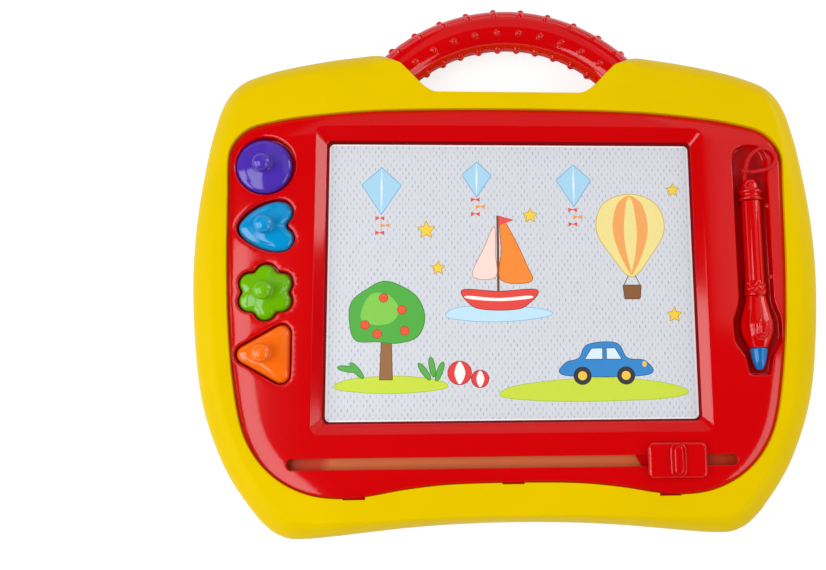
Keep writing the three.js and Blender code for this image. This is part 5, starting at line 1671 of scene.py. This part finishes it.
class DRAWING_BOARD_OT_stage(bpy.types.Operator):
    """A plain white floor, soft studio lights and a camera at the photograph's viewing angle"""

    bl_idname = "drawing_board.stage"
    bl_label = "Stage"

    def execute(self, context):
        scene = context.scene
        scene.view_settings.view_transform = "Standard"
        lens = bpy.data.cameras.new("camera")
        lens.sensor_width, lens.lens = CAMERA_SENSOR, CAMERA_LENS
        lens.shift_x, lens.shift_y = CAMERA_SHIFT
        camera = bpy.data.objects.new("camera", lens)
        scene.collection.objects.link(camera)
        turn = Matrix.Identity(3)
        for axis, degrees in CAMERA_TURNS:
            turn = turn @ Matrix.Rotation(math.radians(degrees), 3, axis)
        camera.matrix_world = Matrix.Translation(CAMERA_PLACE) @ turn.to_4x4()
        scene.camera = camera

        floor = bpy.data.meshes.new("floor")
        ends = (-FLOOR_REACH, FLOOR_REACH)
        corners = [(x, y, FLOOR_HEIGHT) for y in ends for x in ends]
        floor.from_pydata(corners, [], [(0, 1, 3, 2)])
        ground = bpy.data.objects.new("floor", floor)
        scene.collection.objects.link(ground)
        paper = bpy.data.materials.new("white_paper_sweep")
        paper.use_nodes = True
        tree = paper.node_tree
        tree.nodes.clear()
        to_camera = add(tree, "ShaderNodeLightPath").outputs["Is Camera Ray"]
        matt = add(tree, "ShaderNodeBsdfDiffuse", {"Color": (0.8, 0.8, 0.8, 1)})
        dim = add(tree, "ShaderNodeBsdfDiffuse", {"Color": (0.3, 0.3, 0.3, 1)})
        # The sweep brightens with the distance from the board, so that its far end is as white as the room
        place = add(tree, "ShaderNodeTexCoord").outputs["Object"]
        away = add(tree, "ShaderNodeVectorMath", {0: place}, operation="LENGTH").outputs["Value"]
        fade = {"Value": away, "From Min": 0.5, "From Max": 2.2, "To Min": 0.78, "To Max": 0.96}
        fade = add(tree, RANGE, fade)
        glow = add(tree, "ShaderNodeEmission", {"Color": (1, 1, 1, 1), "Strength": fade})
        seen = add(tree, "ShaderNodeAddShader", {0: dim, 1: glow})
        both = add(tree, MIX_SHADER, {0: to_camera, 1: matt, 2: seen})
        # From below the floor is clear, so that the board's underside can be seen
        below = add(tree, "ShaderNodeNewGeometry").outputs["Backfacing"]
        clear = add(tree, "ShaderNodeBsdfTransparent")
        both = add(tree, MIX_SHADER, {0: below, 1: both, 2: clear})
        add(tree, "ShaderNodeOutputMaterial", {"Surface": both})
        floor.materials.append(paper)

        world = bpy.data.worlds.new("studio")
        scene.world = world
        world.use_nodes = True
        world.cycles.sampling_method = "NONE"
        tree = world.node_tree
        tree.nodes.clear()
        rays = add(tree, "ShaderNodeLightPath")
        to_camera, glossy = rays.outputs["Is Camera Ray"], rays.outputs["Is Glossy Ray"]
        room = add(tree, "ShaderNodeBackground", {"Color": (1, 1, 1, 1), "Strength": 0.45})
        # Polished parts see a dark room with a pale band low all round, which draws thin lines on round edges
        way = add(tree, "ShaderNodeTexCoord").outputs["Generated"]
        rise = add(tree, AXES, {0: way}).outputs[2]
        start = add(tree, RANGE, {"Value": rise, "From Min": 0.06, "From Max": 0.12})
        end = add(tree, RANGE, {"Value": rise, "From Min": 0.36, "From Max": 0.28})
        band = add(tree, MATH, {0: start, 1: end}, operation="MULTIPLY")
        band = add(tree, MATH, {0: band, 1: 0.9, 2: 0.012}, operation="MULTIPLY_ADD")
        dark = add(tree, "ShaderNodeBackground", {"Color": (1, 1, 1, 1), "Strength": band})
        white = add(tree, "ShaderNodeBackground", {"Color": (1, 1, 1, 1), "Strength": 1.0})
        lit = add(tree, MIX_SHADER, {0: glossy, 1: room, 2: dark})
        both = add(tree, MIX_SHADER, {0: to_camera, 1: lit, 2: white})
        add(tree, "ShaderNodeOutputWorld", {"Surface": both})

        for name, place, aim, wide, tall, brightness in SOFTBOXES:
            lamp = bpy.data.lights.new(name, "AREA")
            lamp.shape = "RECTANGLE"
            lamp.size, lamp.size_y = wide, tall
            lamp.energy = brightness * wide * tall * math.pi
            light = bpy.data.objects.new(name, lamp)
            scene.collection.objects.link(light)
            light.rotation_mode = "QUATERNION"
            light.rotation_quaternion = Vector(aim).to_track_quat("Z", "Y")
            light.location = place
        return {"FINISHED"}


class DRAWING_BOARD_PT_panel(bpy.types.Panel):
    """Sizes, colours and pieces of the drawing board"""

    bl_label = "Drawing board"
    bl_space_type = "VIEW_3D"
    bl_region_type = "UI"
    bl_category = "Drawing board"

    def draw(self, context):
        for group in (context.scene.drawing_board_sizes, context.scene.drawing_board_colours):
            box = self.layout.box()
            for key in group.bl_rna.properties.keys():
                if key not in {"rna_type", "name"}:
                    box.prop(group, key)
        for operator in OPERATORS:
            self.layout.operator(operator.bl_idname)


OPERATORS = [
    DRAWING_BOARD_OT_stage,
    DRAWING_BOARD_OT_cord,
    DRAWING_BOARD_OT_case,
    DRAWING_BOARD_OT_track,
    DRAWING_BOARD_OT_front_panel,
    DRAWING_BOARD_OT_handle,
    DRAWING_BOARD_OT_screen,
    DRAWING_BOARD_OT_eraser,
    DRAWING_BOARD_OT_stamps,
    DRAWING_BOARD_OT_pen,
    DRAWING_BOARD_OT_screws,
    DRAWING_BOARD_OT_inner_parts,
]
CLASSES = [DrawingBoardSizes, DrawingBoardColours, *OPERATORS, DRAWING_BOARD_PT_panel]


def register():
    for one in CLASSES:
        bpy.utils.register_class(one)
    bpy.types.Scene.drawing_board_sizes = bpy.props.PointerProperty(type=DrawingBoardSizes)
    bpy.types.Scene.drawing_board_colours = bpy.props.PointerProperty(type=DrawingBoardColours)


def unregister():
    del bpy.types.Scene.drawing_board_colours
    del bpy.types.Scene.drawing_board_sizes
    for one in reversed(CLASSES):
        bpy.utils.unregister_class(one)


def main():
    """Builds every piece."""
    register()
    for one in OPERATORS:
        getattr(bpy.ops.drawing_board, one.bl_idname.removeprefix("drawing_board."))()


if __name__ == "__main__":
    main()
